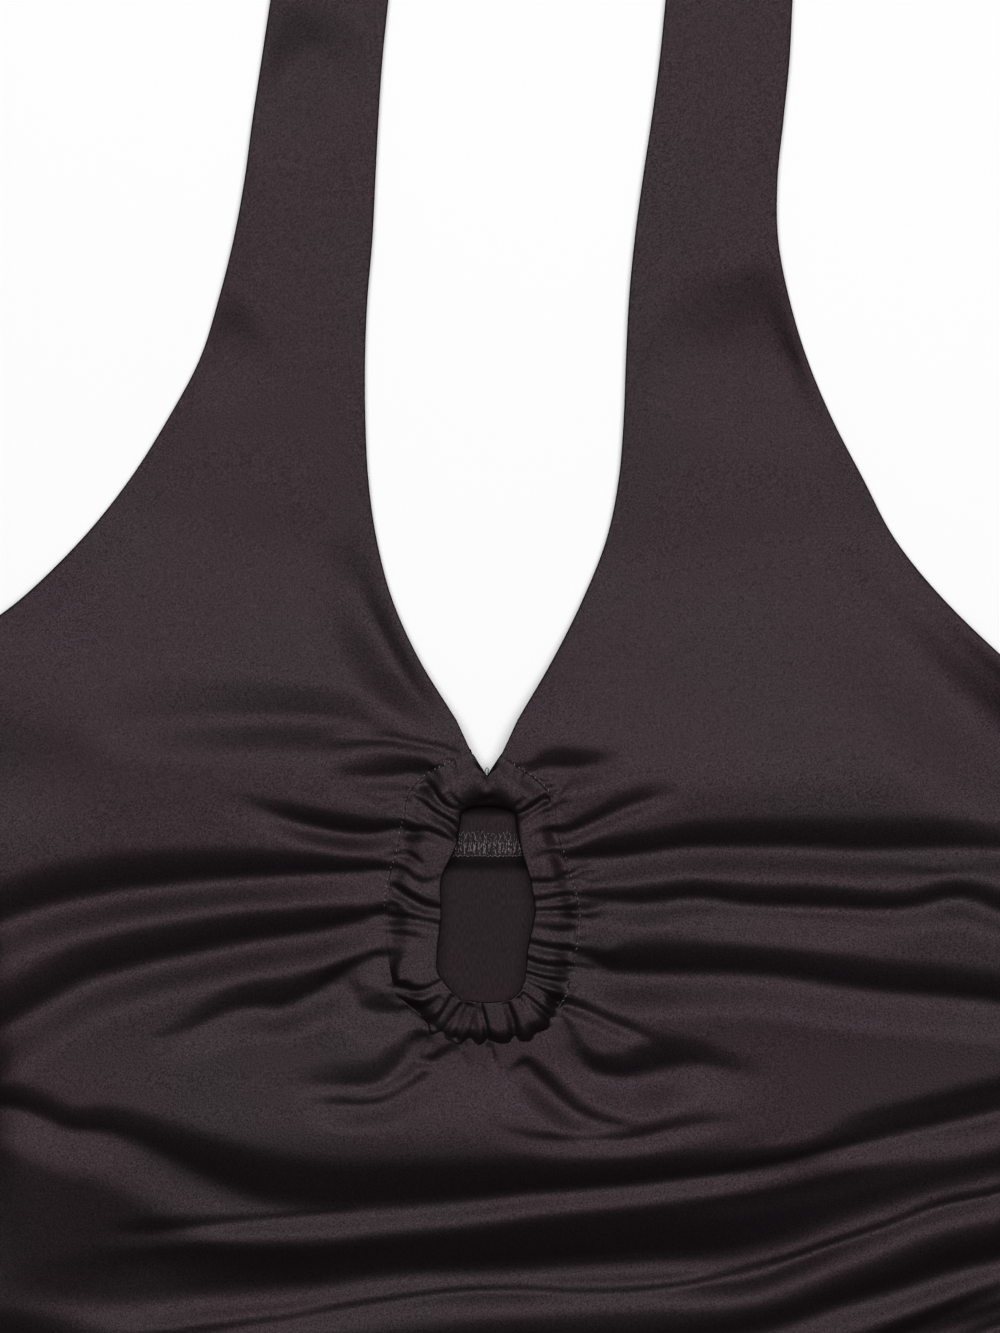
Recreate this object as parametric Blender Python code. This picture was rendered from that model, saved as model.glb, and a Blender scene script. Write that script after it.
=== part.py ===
"""Halter neck bodysuit with a gathered keyhole, laid flat on its back panel.

Sizes in this file are millimetres, and every outline is measured from the
point of the V neck: +X to the right, +Y up to the neck loop, +Z off the table.
The object is moved at the end so that its box stands centred on the origin.
"""

import math
from collections import namedtuple

import bmesh
import bpy
import numpy as np
from mathutils import Vector

MM = 0.001

# ---------------------------------------------------------------- driving sizes
FRONT_CLOTH = 1.6      # two plies of satin knit, turned in at every edge
BACK_CLOTH = 1.2       # one ply
SEAM_GAP = 0.3
CASING_GAP = 0.6       # round the casing's curved seam
HEM_DEPTH = 20.0       # the back's top edge, turned in
UNDERARM_LEFT = (-172.0, 29.0)
UNDERARM_RIGHT = (178.0, 14.0)
BACK_TOP_CENTRE = -5.0
HIP_Y = -285.0         # where the side seams end and the leg edges begin
TAB_END_Y = -432.0     # the front's snap tab
GUSSET_SEAM_Y = -404.0
GUSSET_FOLD_Y = -450.0
GUSSET_RETURN_Y = -410.0
LOOP_TOP_Y = 322.0
COLUMNS = (0, .03, .1, .2, .33, .48, .63, .78, .91, 1)

# ---------------------------------------------------------------- the neck loop
STRAP_Y = 231.0        # the straps run straight up to here, then arch over
ARCH_LEAN = 0.1        # both straps lean to the right
ARCH_STEPS = 6
Arch = namedtuple("Arch", "centre_x across up")
ARCH_OUTER = Arch(centre_x=13.25, across=78.25, up=LOOP_TOP_Y - STRAP_Y)
ARCH_INNER = Arch(centre_x=12.0, across=42.0, up=55.0)

# Each row is one section across a strap and the bust above the underarm.
Across = namedtuple("Across", "out_x out_y in_x in_y")
LEFT_STRAP = [
    Across(-65, 231, -30, 231),
    Across(-70, 195, -33, 195),
    Across(-76, 159, -34.5, 159),
    Across(-83, 132, -36, 132),
    Across(-91, 114, -36.7, 114),
    Across(-101, 96, -36.5, 96),
    Across(-114, 78, -35, 78),
    Across(-130, 60, -31, 60),
    Across(-150, 43, -23.5, 39),
    Across(*UNDERARM_LEFT, -13, 21),
]
RIGHT_STRAP = [
    Across(91.5, 231, 54, 231),
    Across(89, 195, 49.5, 195),
    Across(86.8, 168, 45.6, 168),
    Across(90.5, 141, 42.6, 141),
    Across(97, 120, 41.6, 120),
    Across(108, 96, 40.5, 96),
    Across(117.5, 78, 38, 78),
    Across(129, 60, 32.4, 60),
    Across(152, 36, 22, 37),
    Across(*UNDERARM_RIGHT, 12, 20),
]

# Side seams and leg edges: x for the left, x for the right, at each y.
Edge = namedtuple("Edge", "y left right")
SIDE_SEAM = [
    Edge(29, -172, 178.5),
    Edge(-30, -168.5, 175),
    Edge(-90, -163, 170),
    Edge(-150, -158, 165),
    Edge(-205, -156, 162),
    Edge(-250, -160, 166),
    Edge(HIP_Y, -166, 172),
]
FRONT_LEG = [
    Edge(HIP_Y, -166, 172),
    Edge(-312, -137, 142),
    Edge(-345, -102, 106),
    Edge(-378, -67, 70),
    Edge(-405, -42, 43),
    Edge(-420, -33, 33),
    Edge(TAB_END_Y, -31, 31),
]
BACK_LEG = [
    Edge(HIP_Y, -166, 172),
    Edge(-318, -152, 157),
    Edge(-350, -125, 129),
    Edge(-376, -92, 95),
    Edge(-394, -60, 62),
    Edge(GUSSET_SEAM_Y, -41, 41),
]

# ------------------------------------------------------------ the keyhole casing
# Each row is a station on the ring, from the centre top round by the left side.
Station = namedtuple("Station", "out_x out_y in_x in_y")
CASING = [
    Station(-0.2, -1.5, -0.2, -8.5),
    Station(-5, 5, -3.2, -8.8),
    Station(-12, 2.2, -5.4, -9.4),
    Station(-18, -0.8, -7.4, -11.2),
    Station(-23, -5, -8.8, -14),
    Station(-24.6, -12, -9.6, -18.5),
    Station(-26.2, -20, -10.5, -23.5),
    Station(-28.6, -29, -12.4, -29.5),
    Station(-30.2, -37, -14, -36.5),
    Station(-30, -47, -14.6, -45.5),
    Station(-29.5, -57, -14.4, -55),
    Station(-28, -66, -12.8, -63),
    Station(-22.5, -74, -9.5, -67.5),
    Station(-14, -79.3, -5.4, -69.4),
    Station(-5, -81, -1.6, -69.8),
    Station(5, -81.1, 2.4, -69.6),
    Station(14, -79.4, 6.4, -68.6),
    Station(20.5, -74, 9.6, -66),
    Station(24, -66, 11.6, -61),
    Station(25.8, -57, 12.9, -53),
    Station(27.2, -47, 13.8, -44.5),
    Station(26.3, -38, 13.4, -36.5),
    Station(24.4, -30, 12, -30),
    Station(22.4, -23, 10.4, -24),
    Station(21, -15, 9.4, -18.5),
    Station(20, -7, 8.7, -14),
    Station(15.5, -1.4, 7, -11),
    Station(9.5, 2, 5, -9.4),
    Station(4.4, 5, 2.8, -8.8),
    Station(0.2, -1.5, 0.2, -8.5),
]
CASING_BOTTOM_Y = -82.2
CASING_FLOOR = 4.4     # underside of the casing, clear of the turned hem
CASING_HEIGHT = 6.0
CASING_LIP = 0.75      # the outer lip's height, as a share of the casing's
GATHER_DEPTH = 1.1     # every second station is drawn in by this much
CASING_MID_X = -1.0
CASING_MID_Y = -40.0
CASING_HALF_WIDTH = 29.0
CASING_HALF_HEIGHT = 42.0

# ------------------------------------------------------------------------ folds
# The valley of a fold at the side seam, half way and at its inner end; lap is
# the width of the steep side above the valley, and the lifts are the height of
# the roll above it at the same three places.
Fold = namedtuple("Fold", "side middle inner lap lift_side lift_middle lift_inner")
LEFT_KEYHOLE_FOLDS = [
    Fold(-10, -11, -16, 4, 0.3, 1.5, 1.5),
    Fold(-50, -30.5, -28.5, 8, 5, 6, 1.5),
    Fold(-86, -55, -41, 8, 5, 6.5, 1.5),
    Fold(-90.5, -78.5, -54, 5, 0.3, 2.5, 1.5),
]
RIGHT_KEYHOLE_FOLDS = [
    Fold(-21.5, -22, -25, 6, 4.5, 5, 1.5),
    Fold(-40.5, -39, -35.5, 4.5, 3.5, 3.5, 1.2),
    Fold(-71, -64, -53, 8.5, 5.5, 6, 1.5),
    Fold(-88, -90, -69, 7, 0.3, 2, 2),
]
# Folds right across the body: the valley at five places.
BodyFold = namedtuple("BodyFold", "left left_middle centre right_middle right lap lift")
BODY_FOLDS = [
    BodyFold(-97, -119, -128, -119, -97, 9, 7),
    BodyFold(-154, -156, -150, -142, -119, 12, 7.5),
    BodyFold(-190, -184, -172, -167, -141, 9, 6),
    BodyFold(-213, -210, -201, -190, -170, 9, 6),
    BodyFold(-238, -236, -229, -219, -199, 10, 6.5),
    BodyFold(-260, -262, -257, -250, -232, 9, 5),
    BodyFold(-279, -291, -290, -280, -264, 9, 4),
    BodyFold(-303, -324, -328, -322, -300, 10, 3),
]
# Grooves on the underside of the back, pressed flat between them: the same
# five places and the depth.
Groove = namedtuple("Groove", "left left_middle centre right_middle right width depth")
BACK_GROOVES = [
    Groove(-92, -100, -108, -104, -96, 9, 1.0),
    Groove(-128, -134, -140, -133, -124, 9, 1.2),
    Groove(-160, -163, -170, -166, -152, 10, 1.2),
    Groove(-190, -195, -199, -197, -184, 9, 1.0),
    Groove(-220, -228, -232, -226, -214, 10, 1.2),
    Groove(-252, -262, -268, -260, -246, 9, 1.0),
]

# --------------------------------------------------------------- press fasteners
POPPER_PITCH = 18.0
POPPER_Y = -422.0
CAP_RADIUS = 4.75
CAP_HEIGHT = 1.3
SOCKET_RADIUS = 4.0
SOCKET_HEIGHT = 1.1
TAB_FLOOR = 4.7        # underside of the front's tab, above the sockets

Finish = namedtuple("Finish", "name colour roughness metallic")
SATIN = Finish("black satin knit", (0.036, 0.026, 0.029), 0.55, 0.0)
INSIDE = Finish("satin knit wrong side", (0.021, 0.015, 0.017), 0.7, 0.0)
POPPER = Finish("gunmetal popper", (0.09, 0.088, 0.092), 0.35, 0.9)


def smooth(low, high, value):
    """0 below low, 1 above high, and an even S-curve between them."""
    t = min(max((value - low) / (high - low), 0.0), 1.0)
    return t * t * (3 - 2 * t)


def through(three, t):
    """A parabola through three values, at t = 0, 0.5 and 1."""
    a, b, c = three
    return a * (1 - t) * (1 - 2 * t) + 4 * b * t * (1 - t) + c * t * (2 * t - 1)


def edge_x(rows, y, side):
    """The x of an edge table at a height, on a smooth curve through its rows."""
    heights = [row.y for row in rows]
    places = [getattr(row, side) for row in rows]
    y = min(max(y, heights[-1]), heights[0])
    k = next(i for i in range(len(rows) - 1) if y >= heights[i + 1])
    before, after = max(k - 1, 0), min(k + 2, len(rows) - 1)
    step = heights[k + 1] - heights[k]
    t = (y - heights[k]) / step
    slope_a = (places[k + 1] - places[before]) / (heights[k + 1] - heights[before])
    slope_b = (places[after] - places[k]) / (heights[after] - heights[k])
    return (places[k] * (1 + 2 * t) * (1 - t) ** 2 + places[k + 1] * t * t * (3 - 2 * t)
            + slope_a * step * t * (1 - t) ** 2 - slope_b * step * t * t * (1 - t))


def back_top(x):
    """The back's top edge, hollowed between the two underarm points."""
    far_x, far_y = UNDERARM_LEFT if x < 0 else UNDERARM_RIGHT
    return BACK_TOP_CENTRE + (far_y - BACK_TOP_CENTRE) * (x / far_x) ** 2


def outer_stations(side):
    """The casing's stations on one side, from the top down."""
    stations = [s for s in CASING[1:-1] if (s.out_x < 0) == (side == "left")]
    return sorted(stations, key=lambda s: -s.out_y)


def seam_heights(side, top, bottom):
    return [s.out_y for s in outer_stations(side) if bottom < s.out_y < top]


def inner_point(y, side):
    """The front's inner edge at a height: the V neck, just outside the casing's
    seam, then the centre line."""
    if y < CASING_BOTTOM_Y:
        return 0.0, y
    strap = LEFT_STRAP if side == "left" else RIGHT_STRAP
    stations = outer_stations(side)
    heights = [-strap[-1].in_y] + [-s.out_y for s in stations] + [-CASING_BOTTOM_Y]
    places = [strap[-1].in_x] + [s.out_x for s in stations] + [0.0]
    x = float(np.interp(-y, heights, places))
    if y > stations[0].out_y or y == CASING_BOTTOM_Y:
        return x, y
    off = Vector((x - CASING_MID_X, y - CASING_MID_Y)).normalized() * CASING_GAP
    return x + off.x, y + off.y


# ------------------------------------------------------------------ mesh helpers
def place(point):
    """A point in the garment's millimetres, in the object's own frame."""
    middle_x = (UNDERARM_LEFT[0] + UNDERARM_RIGHT[0]) / 2
    middle_y = (LOOP_TOP_Y + GUSSET_FOLD_Y) / 2
    return Vector((point[0] - middle_x, point[1] - middle_y, point[2])) * MM


def material(finish):
    made = bpy.data.materials.get(finish.name)
    if made is None:
        made = bpy.data.materials.new(finish.name)
        made.use_nodes = True
        shader = made.node_tree.nodes["Principled BSDF"]
        shader.inputs["Base Color"].default_value = (*finish.colour, 1)
        shader.inputs["Roughness"].default_value = finish.roughness
        shader.inputs["Metallic"].default_value = finish.metallic
    return made


def add_object(name, bm, finish, collection):
    bmesh.ops.recalc_face_normals(bm, faces=bm.faces)
    mesh = bpy.data.meshes.new(name)
    bm.to_mesh(mesh)
    bm.free()
    mesh.materials.append(material(finish))
    mesh.shade_smooth()
    obj = bpy.data.objects.new(name, mesh)
    collection.objects.link(obj)
    return obj


def add_grid(bm, rows):
    """Faces between rows of points of equal length."""
    made = [[bm.verts.new(place(p)) for p in row] for row in rows]
    for above, below in zip(made, made[1:]):
        for i in range(len(above) - 1):
            bm.faces.new((above[i], above[i + 1], below[i + 1], below[i]))


def thicken_up(bm, thickness):
    """Makes an open sheet a wall of even height, its copy above it."""
    bmesh.ops.triangulate(bm, faces=bm.faces)
    raised = bmesh.ops.extrude_face_region(bm, geom=bm.faces[:], use_keep_orig=True)
    upper = [v for v in raised["geom"] if isinstance(v, bmesh.types.BMVert)]
    bmesh.ops.translate(bm, verts=upper, vec=(0, 0, thickness * MM))


def add_loft(bm, rings):
    """Closed rings of points joined in turn; each end is closed by a strip
    between the first half of its ring and the second."""
    made = [[bm.verts.new(place(p)) for p in ring] for ring in rings]
    for a, b in zip(made, made[1:]):
        for i in range(len(a)):
            j = (i + 1) % len(a)
            bm.faces.new((a[i], a[j], b[j], b[i]))
    for end in (made[0], made[-1]):
        last = len(end) - 1
        for i in range(len(end) // 2 - 1):
            bm.faces.new((end[i], end[i + 1], end[last - i - 1], end[last - i]))
    bmesh.ops.triangulate(bm, faces=bm.faces)


# -------------------------------------------------------------------- the front
class Section:
    """One line across half of the front, from its outer to its inner edge."""

    def __init__(self, outer, middle_y, inner, lifts=(0, 0, 0)):
        self.outer, self.inner, self.lifts = outer, inner, lifts
        self.heights = [outer[1], middle_y, inner[1]]

    def point(self, t):
        x = self.outer[0] + (self.inner[0] - self.outer[0]) * t
        y = through(self.heights, t)
        return x, y, front_floor(x, y, t) + max(through(self.lifts, t), 0)


def edge_floor(y, x):
    """Underside of the front at its outer edge: above the hem, then the back."""
    depth = back_top(x) - y
    below_hem = smooth(HEM_DEPTH + 2, HEM_DEPTH + 12, depth)
    hem = 2 * BACK_CLOTH + 2 * SEAM_GAP
    return hem + (BACK_CLOTH + SEAM_GAP - hem) * below_hem


def front_floor(x, y, t):
    """Underside of the front without its folds."""
    covered = 1 - smooth(1, 20, y - back_top(x))
    pillow = 2.6 * smooth(0, 0.12, t)
    off_ring = math.hypot((x - CASING_MID_X) / CASING_HALF_WIDTH,
                          (y - CASING_MID_Y) / CASING_HALF_HEIGHT) - 1
    lip = CASING_FLOOR + CASING_LIP * CASING_HEIGHT - FRONT_CLOTH
    near_ring = 1 - smooth(0, 0.7, off_ring)
    near_tab = smooth(-375, -402, y) if y > TAB_END_Y - 1 else 1
    body = covered * (edge_floor(y, x) + pillow)
    body += covered * near_ring * max(lip - body, 0)
    return body + near_tab * max(TAB_FLOOR - body, 0)


def arch_point(arch, angle):
    up = arch.up * math.sin(angle)
    return arch.centre_x + arch.across * math.cos(angle) + ARCH_LEAN * up, STRAP_Y + up


def strap_sections(side, rows):
    """From the centre back seam over the arch and down to the underarm."""
    turn = 1 if side == "left" else -1
    made = []
    for k in range(ARCH_STEPS):
        angle = math.pi / 2 + turn * math.pi / 2 * k / ARCH_STEPS
        outer, inner = arch_point(ARCH_OUTER, angle), arch_point(ARCH_INNER, angle)
        if k == 0:
            seam = -turn * SEAM_GAP / 2
            outer, inner = (outer[0] + seam, outer[1]), (inner[0] + seam, inner[1])
        made.append(Section(outer, (outer[1] + inner[1]) / 2, inner))
    for row in rows:
        middle = (row.out_y + row.in_y) / 2
        made.append(Section((row.out_x, row.out_y), middle, (row.in_x, row.in_y)))
    return made


def fold_lines(valley, lap, lifts):
    """Four lines for a fold: crest, brow, valley, and the foot of the next roll."""
    shares = ((1.0, 1.0), (0.4, 0.72), (0.0, 0.0), (-0.5, 0.45))
    return [([v + lap * up for v in valley], [lift * high for lift in lifts])
            for up, high in shares]


def torso_sections(side, keyhole_folds):
    """From the underarm to the end of the tab, a line for each part of a fold."""
    strap = LEFT_STRAP if side == "left" else RIGHT_STRAP
    start = strap[-1]
    lines = [([start.out_y - 3, 16, 13], [0, 0, 0])]
    for down, inner_y in enumerate(seam_heights(side, 6, -10), start=2):
        lines.append(([start.out_y - 3 * down, 19 - 3.5 * down, inner_y], [0, 0, 0]))
    for fold in keyhole_folds:
        valley = [fold.side, fold.middle, fold.inner]
        lifts = [fold.lift_side, fold.lift_middle, fold.lift_inner]
        lines += fold_lines(valley, fold.lap, lifts)
    for inner_y in [*seam_heights(side, -60, -90), CASING_BOTTOM_Y]:
        lines.append(([lines[-1][0][0] - 1.2, lines[-1][0][1] - 1.2, inner_y], [0, 1, 0]))
    for fold in BODY_FOLDS:
        outer = fold.left if side == "left" else fold.right
        middle = fold.left_middle if side == "left" else fold.right_middle
        lines += fold_lines([outer, middle, fold.centre], fold.lap, [fold.lift] * 3)
    for y in (-355, -378, -400, -416, TAB_END_Y):
        lines.append(([y] * 3, [0, 0, 0]))

    made, last = [], [start.out_y, start.out_y, start.in_y]
    for heights, lifts in lines:
        heights = [min(y, above - 0.8) for y, above in zip(heights, last)]
        last = heights
        table = SIDE_SEAM if heights[0] > HIP_Y else FRONT_LEG
        outer = (edge_x(table, heights[0], side), heights[0])
        made.append(Section(outer, heights[1], inner_point(heights[2], side), lifts))
    return made


def build_front(collection):
    bm = bmesh.new()
    for side, strap, folds in (("left", LEFT_STRAP, LEFT_KEYHOLE_FOLDS),
                               ("right", RIGHT_STRAP, RIGHT_KEYHOLE_FOLDS)):
        sections = strap_sections(side, strap) + torso_sections(side, folds)
        add_grid(bm, [[s.point(t) for t in COLUMNS] for s in sections])
    bmesh.ops.remove_doubles(bm, verts=bm.verts, dist=0.05 * MM)
    thicken_up(bm, FRONT_CLOTH)
    return add_object("front", bm, SATIN, collection)


# --------------------------------------------------------------------- the back
def groove_height(x, y):
    """How far the back stands off the table in its grooves."""
    t = (x - UNDERARM_LEFT[0]) / (UNDERARM_RIGHT[0] - UNDERARM_LEFT[0])
    fade = smooth(0.01, 0.12, t) * smooth(0.01, 0.12, 1 - t)
    deepest = 0.0
    for groove in BACK_GROOVES:
        valley = np.interp(t, (0, .25, .5, .75, 1), groove[:5])
        near = max(1 - abs(y - valley) / (groove.width / 2), 0)
        deepest = max(deepest, groove.depth * near)
    return deepest * fade


def back_profile(t):
    """The back's middle line at one place across: the turned hem, then down."""
    lower = BACK_CLOTH / 2
    upper = lower + BACK_CLOTH + SEAM_GAP
    lines = [-92, -96, -100, -104, -108]
    for groove in BACK_GROOVES[1:]:
        valley = groove.centre
        lines += [valley + groove.width / 2, valley, valley - groove.width / 2]
    lines += [-285, -310, -335, -358, -378, GUSSET_SEAM_Y]
    side_x = edge_x(SIDE_SEAM, 0, "left") * (1 - t) + edge_x(SIDE_SEAM, 0, "right") * t
    top = back_top(side_x)
    turn = (lower + upper) / 2
    points = [(side_x, top - HEM_DEPTH, upper), (side_x, top - 2, upper),
              (side_x, top - 0.6, turn), (side_x, top - 2, lower)]
    points += [(side_x, top - HEM_DEPTH, lower), (side_x, top - 48, lower)]
    for y in lines:
        table = SIDE_SEAM if y > HIP_Y else BACK_LEG
        x = edge_x(table, y, "left") * (1 - t) + edge_x(table, y, "right") * t
        points.append((x, y, lower + groove_height(x, y)))
    return points


def wall_ring(points, thickness):
    """A closed ring round a line of points in the Y-Z plane, half a wall off it."""
    over, under = [], []
    for k, (x, y, z) in enumerate(points):
        before, after = points[max(k - 1, 0)], points[min(k + 1, len(points) - 1)]
        along = Vector((after[1] - before[1], after[2] - before[2])).normalized()
        off = Vector((-along.y, along.x)) * thickness / 2
        over.append((x, y + off.x, z + off.y))
        under.append((x, y - off.x, z - off.y))
    return over + under[::-1]


def build_back(collection):
    bm = bmesh.new()
    steps = 14
    shares = [0.5 - 0.5 * math.cos(math.pi * k / steps) for k in range(steps + 1)]
    add_loft(bm, [wall_ring(back_profile(t), BACK_CLOTH) for t in shares])
    return add_object("back", bm, INSIDE, collection)


# --------------------------------------------------------------- keyhole casing
def casing_ring(station, drawn_in):
    """The casing's cloth at one station: up from the seam, round, and back."""
    outer = Vector((station.out_x, station.out_y))
    inner = Vector((station.in_x, station.in_y))
    width = (inner - outer).length - 0.3 * drawn_in
    across = (inner - outer).normalized()
    high = CASING_HEIGHT - drawn_in
    wall = BACK_CLOTH
    lip = CASING_LIP * CASING_HEIGHT
    skin = [(0, 0), (0.6, 0), (0.88, 0.14 * high), (1, 0.5 * high), (0.88, 0.86 * high),
            (0.6, high), (0.28, 0.97 * high), (0, lip)]
    lining = [(0, lip - wall), (0.28, 0.97 * high - wall), (0.6, high - wall),
              (0.84, 0.72 * high), (0.9, 0.5 * high), (0.84, 0.28 * high),
              (0.6, wall), (0, wall)]
    return [(*(outer + across * width * share), CASING_FLOOR + up)
            for share, up in skin + lining]


def build_casing(collection):
    """The gathers are a drawn-in ring between each two full ones."""
    rings = []
    for here, after in zip(CASING, CASING[1:]):
        rings.append(casing_ring(here, 0.0))
        between = Station(*[(a + b) / 2 for a, b in zip(here, after)])
        rings.append(casing_ring(between, GATHER_DEPTH))
    rings.append(casing_ring(CASING[-1], 0.0))
    bm = bmesh.new()
    add_loft(bm, rings)
    return add_object("keyhole_casing", bm, SATIN, collection)


# ------------------------------------------------------------ gusset and poppers
def build_gusset(collection):
    """Sewn to the back, folded up at the crotch to lie under the front's tab."""
    lower = BACK_CLOTH / 2
    upper = lower + BACK_CLOTH + 2 * SEAM_GAP
    start = GUSSET_SEAM_Y - SEAM_GAP
    profile = [(start, lower), (-425, lower), (GUSSET_FOLD_Y + 2.4, lower),
               (GUSSET_FOLD_Y + 0.6, (lower + upper) / 2), (GUSSET_FOLD_Y + 2.4, upper),
               (-430, upper), (GUSSET_RETURN_Y, upper)]
    half_widths = [41, 33, 30.5, 30.2, 30.5, 31, 31]
    rings = []
    for share in np.linspace(-1, 1, 9):
        line = [(share * half, y, z) for half, (y, z) in zip(half_widths, profile)]
        rings.append(wall_ring(line, BACK_CLOTH))
    bm = bmesh.new()
    add_loft(bm, rings)
    return add_object("gusset", bm, SATIN, collection)


def build_disc(name, x, floor, radius, height, collection):
    """A popper part: a low disc, narrower at its top."""
    bm = bmesh.new()
    bmesh.ops.create_cone(bm, cap_ends=True, segments=20, radius1=radius * MM,
                          radius2=radius * 0.86 * MM, depth=height * MM)
    disc = add_object(name, bm, POPPER, collection)
    disc.location = place((x, POPPER_Y, floor + height / 2))
    return disc


def build_poppers(collection):
    """Three closed press fasteners: a cap on the tab and a socket under it."""
    cap_floor = TAB_FLOOR + FRONT_CLOTH + SEAM_GAP
    socket_floor = 2 * BACK_CLOTH + 3 * SEAM_GAP
    for number, place_x in enumerate((-POPPER_PITCH, 0, POPPER_PITCH), start=1):
        build_disc(f"popper_cap_{number}", place_x, cap_floor,
                   CAP_RADIUS, CAP_HEIGHT, collection)
        build_disc(f"popper_socket_{number}", place_x, socket_floor,
                   SOCKET_RADIUS, SOCKET_HEIGHT, collection)


def main():
    for obj in list(bpy.data.objects):
        bpy.data.objects.remove(obj)
    collection = bpy.data.collections.new("halter neck bodysuit")
    bpy.context.scene.collection.children.link(collection)
    build_front(collection)
    build_back(collection)
    build_casing(collection)
    build_gusset(collection)
    build_poppers(collection)


main()
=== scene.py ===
import math
from collections import namedtuple

import bmesh
import bpy
import numpy as np
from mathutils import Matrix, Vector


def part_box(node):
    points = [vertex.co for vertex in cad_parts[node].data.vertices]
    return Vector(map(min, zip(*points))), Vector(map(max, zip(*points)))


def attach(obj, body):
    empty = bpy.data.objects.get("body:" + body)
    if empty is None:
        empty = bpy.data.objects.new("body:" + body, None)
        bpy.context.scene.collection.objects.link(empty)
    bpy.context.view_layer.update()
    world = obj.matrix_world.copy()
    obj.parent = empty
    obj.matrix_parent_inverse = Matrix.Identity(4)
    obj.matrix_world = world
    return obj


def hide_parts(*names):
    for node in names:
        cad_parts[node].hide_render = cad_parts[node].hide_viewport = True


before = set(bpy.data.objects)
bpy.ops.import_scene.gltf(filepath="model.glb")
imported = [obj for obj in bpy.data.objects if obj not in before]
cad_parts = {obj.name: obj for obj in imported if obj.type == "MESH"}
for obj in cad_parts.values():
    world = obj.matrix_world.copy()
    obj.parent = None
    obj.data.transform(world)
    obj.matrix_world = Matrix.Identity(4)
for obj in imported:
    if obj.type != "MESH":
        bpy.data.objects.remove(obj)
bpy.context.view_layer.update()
print("scene: frame loaded")

# Every size below is in millimetres about the point of the V neck:
# +X to the right, +Y up to the neck loop, +Z off the table.
mm = 0.001
farOff = 99.0  # stands for a place with no edge near it
# The front's left end and its top, seen from that point and in the frame, give the
# place of the frame's own origin.
frontEnds = dict(left=-172.0, top=322.0)
frontLow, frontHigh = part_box("front")
frameOrigin = (round(frontEnds["left"] - frontLow[0] / mm, 1),
               round(frontEnds["top"] - frontHigh[1] / mm, 1), 0.0)


def toFrame(points):
    # metres in the frame
    return (np.asarray(points, float) - np.array(frameOrigin)) * mm


def smoothstep(low, high, value):
    t = np.clip((value - low) / (high - low), 0, 1)
    return t * t * (3 - 2 * t)


def through(values, t):
    # values evenly spaced along t = 0 to 1, or one value all along
    if np.isscalar(values):
        return np.full_like(t, values, dtype=float)
    return np.interp(t, np.linspace(0, 1, len(values)), values)


def curveThrough(points, steps):
    # a smooth line through points, with a number of steps from each to the next
    points = np.asarray(points, float)
    ends = np.vstack([2 * points[0] - points[1], points, 2 * points[-1] - points[-2]])
    out = []
    for k in range(len(points) - 1):
        a, b, c, d = ends[k : k + 4]
        count = steps if np.isscalar(steps) else steps[k]
        for t in np.arange(count) / count:
            out.append(0.5 * (2 * b + (c - a) * t + (2 * a - 5 * b + 4 * c - d) * t * t
                              + (3 * b - a - 3 * c + d) * t ** 3))
    out.append(points[-1])
    return np.array(out)


def lengthAlong(line):
    # distance from a line's start to each of its points
    return np.concatenate([[0], np.cumsum(np.linalg.norm(np.diff(line, axis=0), axis=1))])


def placeAlong(pairs, length, at):
    # the x and y that a line's pairs have at a distance along it
    return np.array([np.interp(at, length, pairs[:, i]) for i in (0, 1)])


def edgeWays(path):
    # unit directions to the left of a path
    along = np.gradient(path, axis=0)
    along /= np.linalg.norm(along, axis=1)[:, None] + 1e-9
    return np.column_stack([-along[:, 1], along[:, 0]])


# The finish of the cloth, of its thread and of the poppers.
cloth = dict(
    colour=(0.0038, 0.0027, 0.0033),        # near black with a warm cast
    insideColour=(0.0052, 0.0034, 0.0041),  # the duller inner side of the back
    gloss=0.145,
    insideGloss=0.084,
    roughness=0.42,
    shine=(1.0, 0.74, 0.82),
    coolTint=(0.93, 0.98, 0.95),   # the shine's colour wanders between these two tints
    warmTint=(1.0, 0.94, 0.99),
    tintRange=(0.36, 0.62),
    tintScale=16.0,                # to a metre
    grain=(0.55, 0.6, 0.3),        # how far the grain changes the shine, its length and width
    insideGrain=(0.35, 1.8, 0.34),
    grainRange=(0.3, 0.7),
    grainTurn=40,                  # degrees on the front; the inner side's isn't turned
    grainDepth=0.02,
    bump=0.5,
    drape=1.0,                     # deepens every fold
)
thread = dict(
    colour=(0.085, 0.074, 0.079),
    roughness=0.5,
    fibres=1900.0,                 # to a metre
    dark=0.25,                     # the fibres' tones, as shares of the colour
    light=2.4,
    blend=(0.36, 0.64),
)
popperFinish = dict(colour=(0.09, 0.088, 0.092), roughness=0.35, metallic=0.9)


def newMaterial(name, colour, roughness, metallic=0.0):
    made = bpy.data.materials.new(name)
    made.use_nodes = True
    shader = made.node_tree.nodes["Principled BSDF"]
    shader.inputs["Specular IOR Level"].default_value = cloth["gloss"]
    shader.inputs["Specular Tint"].default_value = (*cloth["shine"], 1)
    shader.inputs["Base Color"].default_value = (*colour, 1)
    shader.inputs["Roughness"].default_value = roughness
    shader.inputs["Metallic"].default_value = metallic
    return made, shader


def addNode(made, kind, values=None):
    # a node of a material, with some of its sockets set
    node = made.node_tree.nodes.new(kind)
    for socket, value in (values or {}).items():
        node.inputs[socket].default_value = value
    return node


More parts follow.
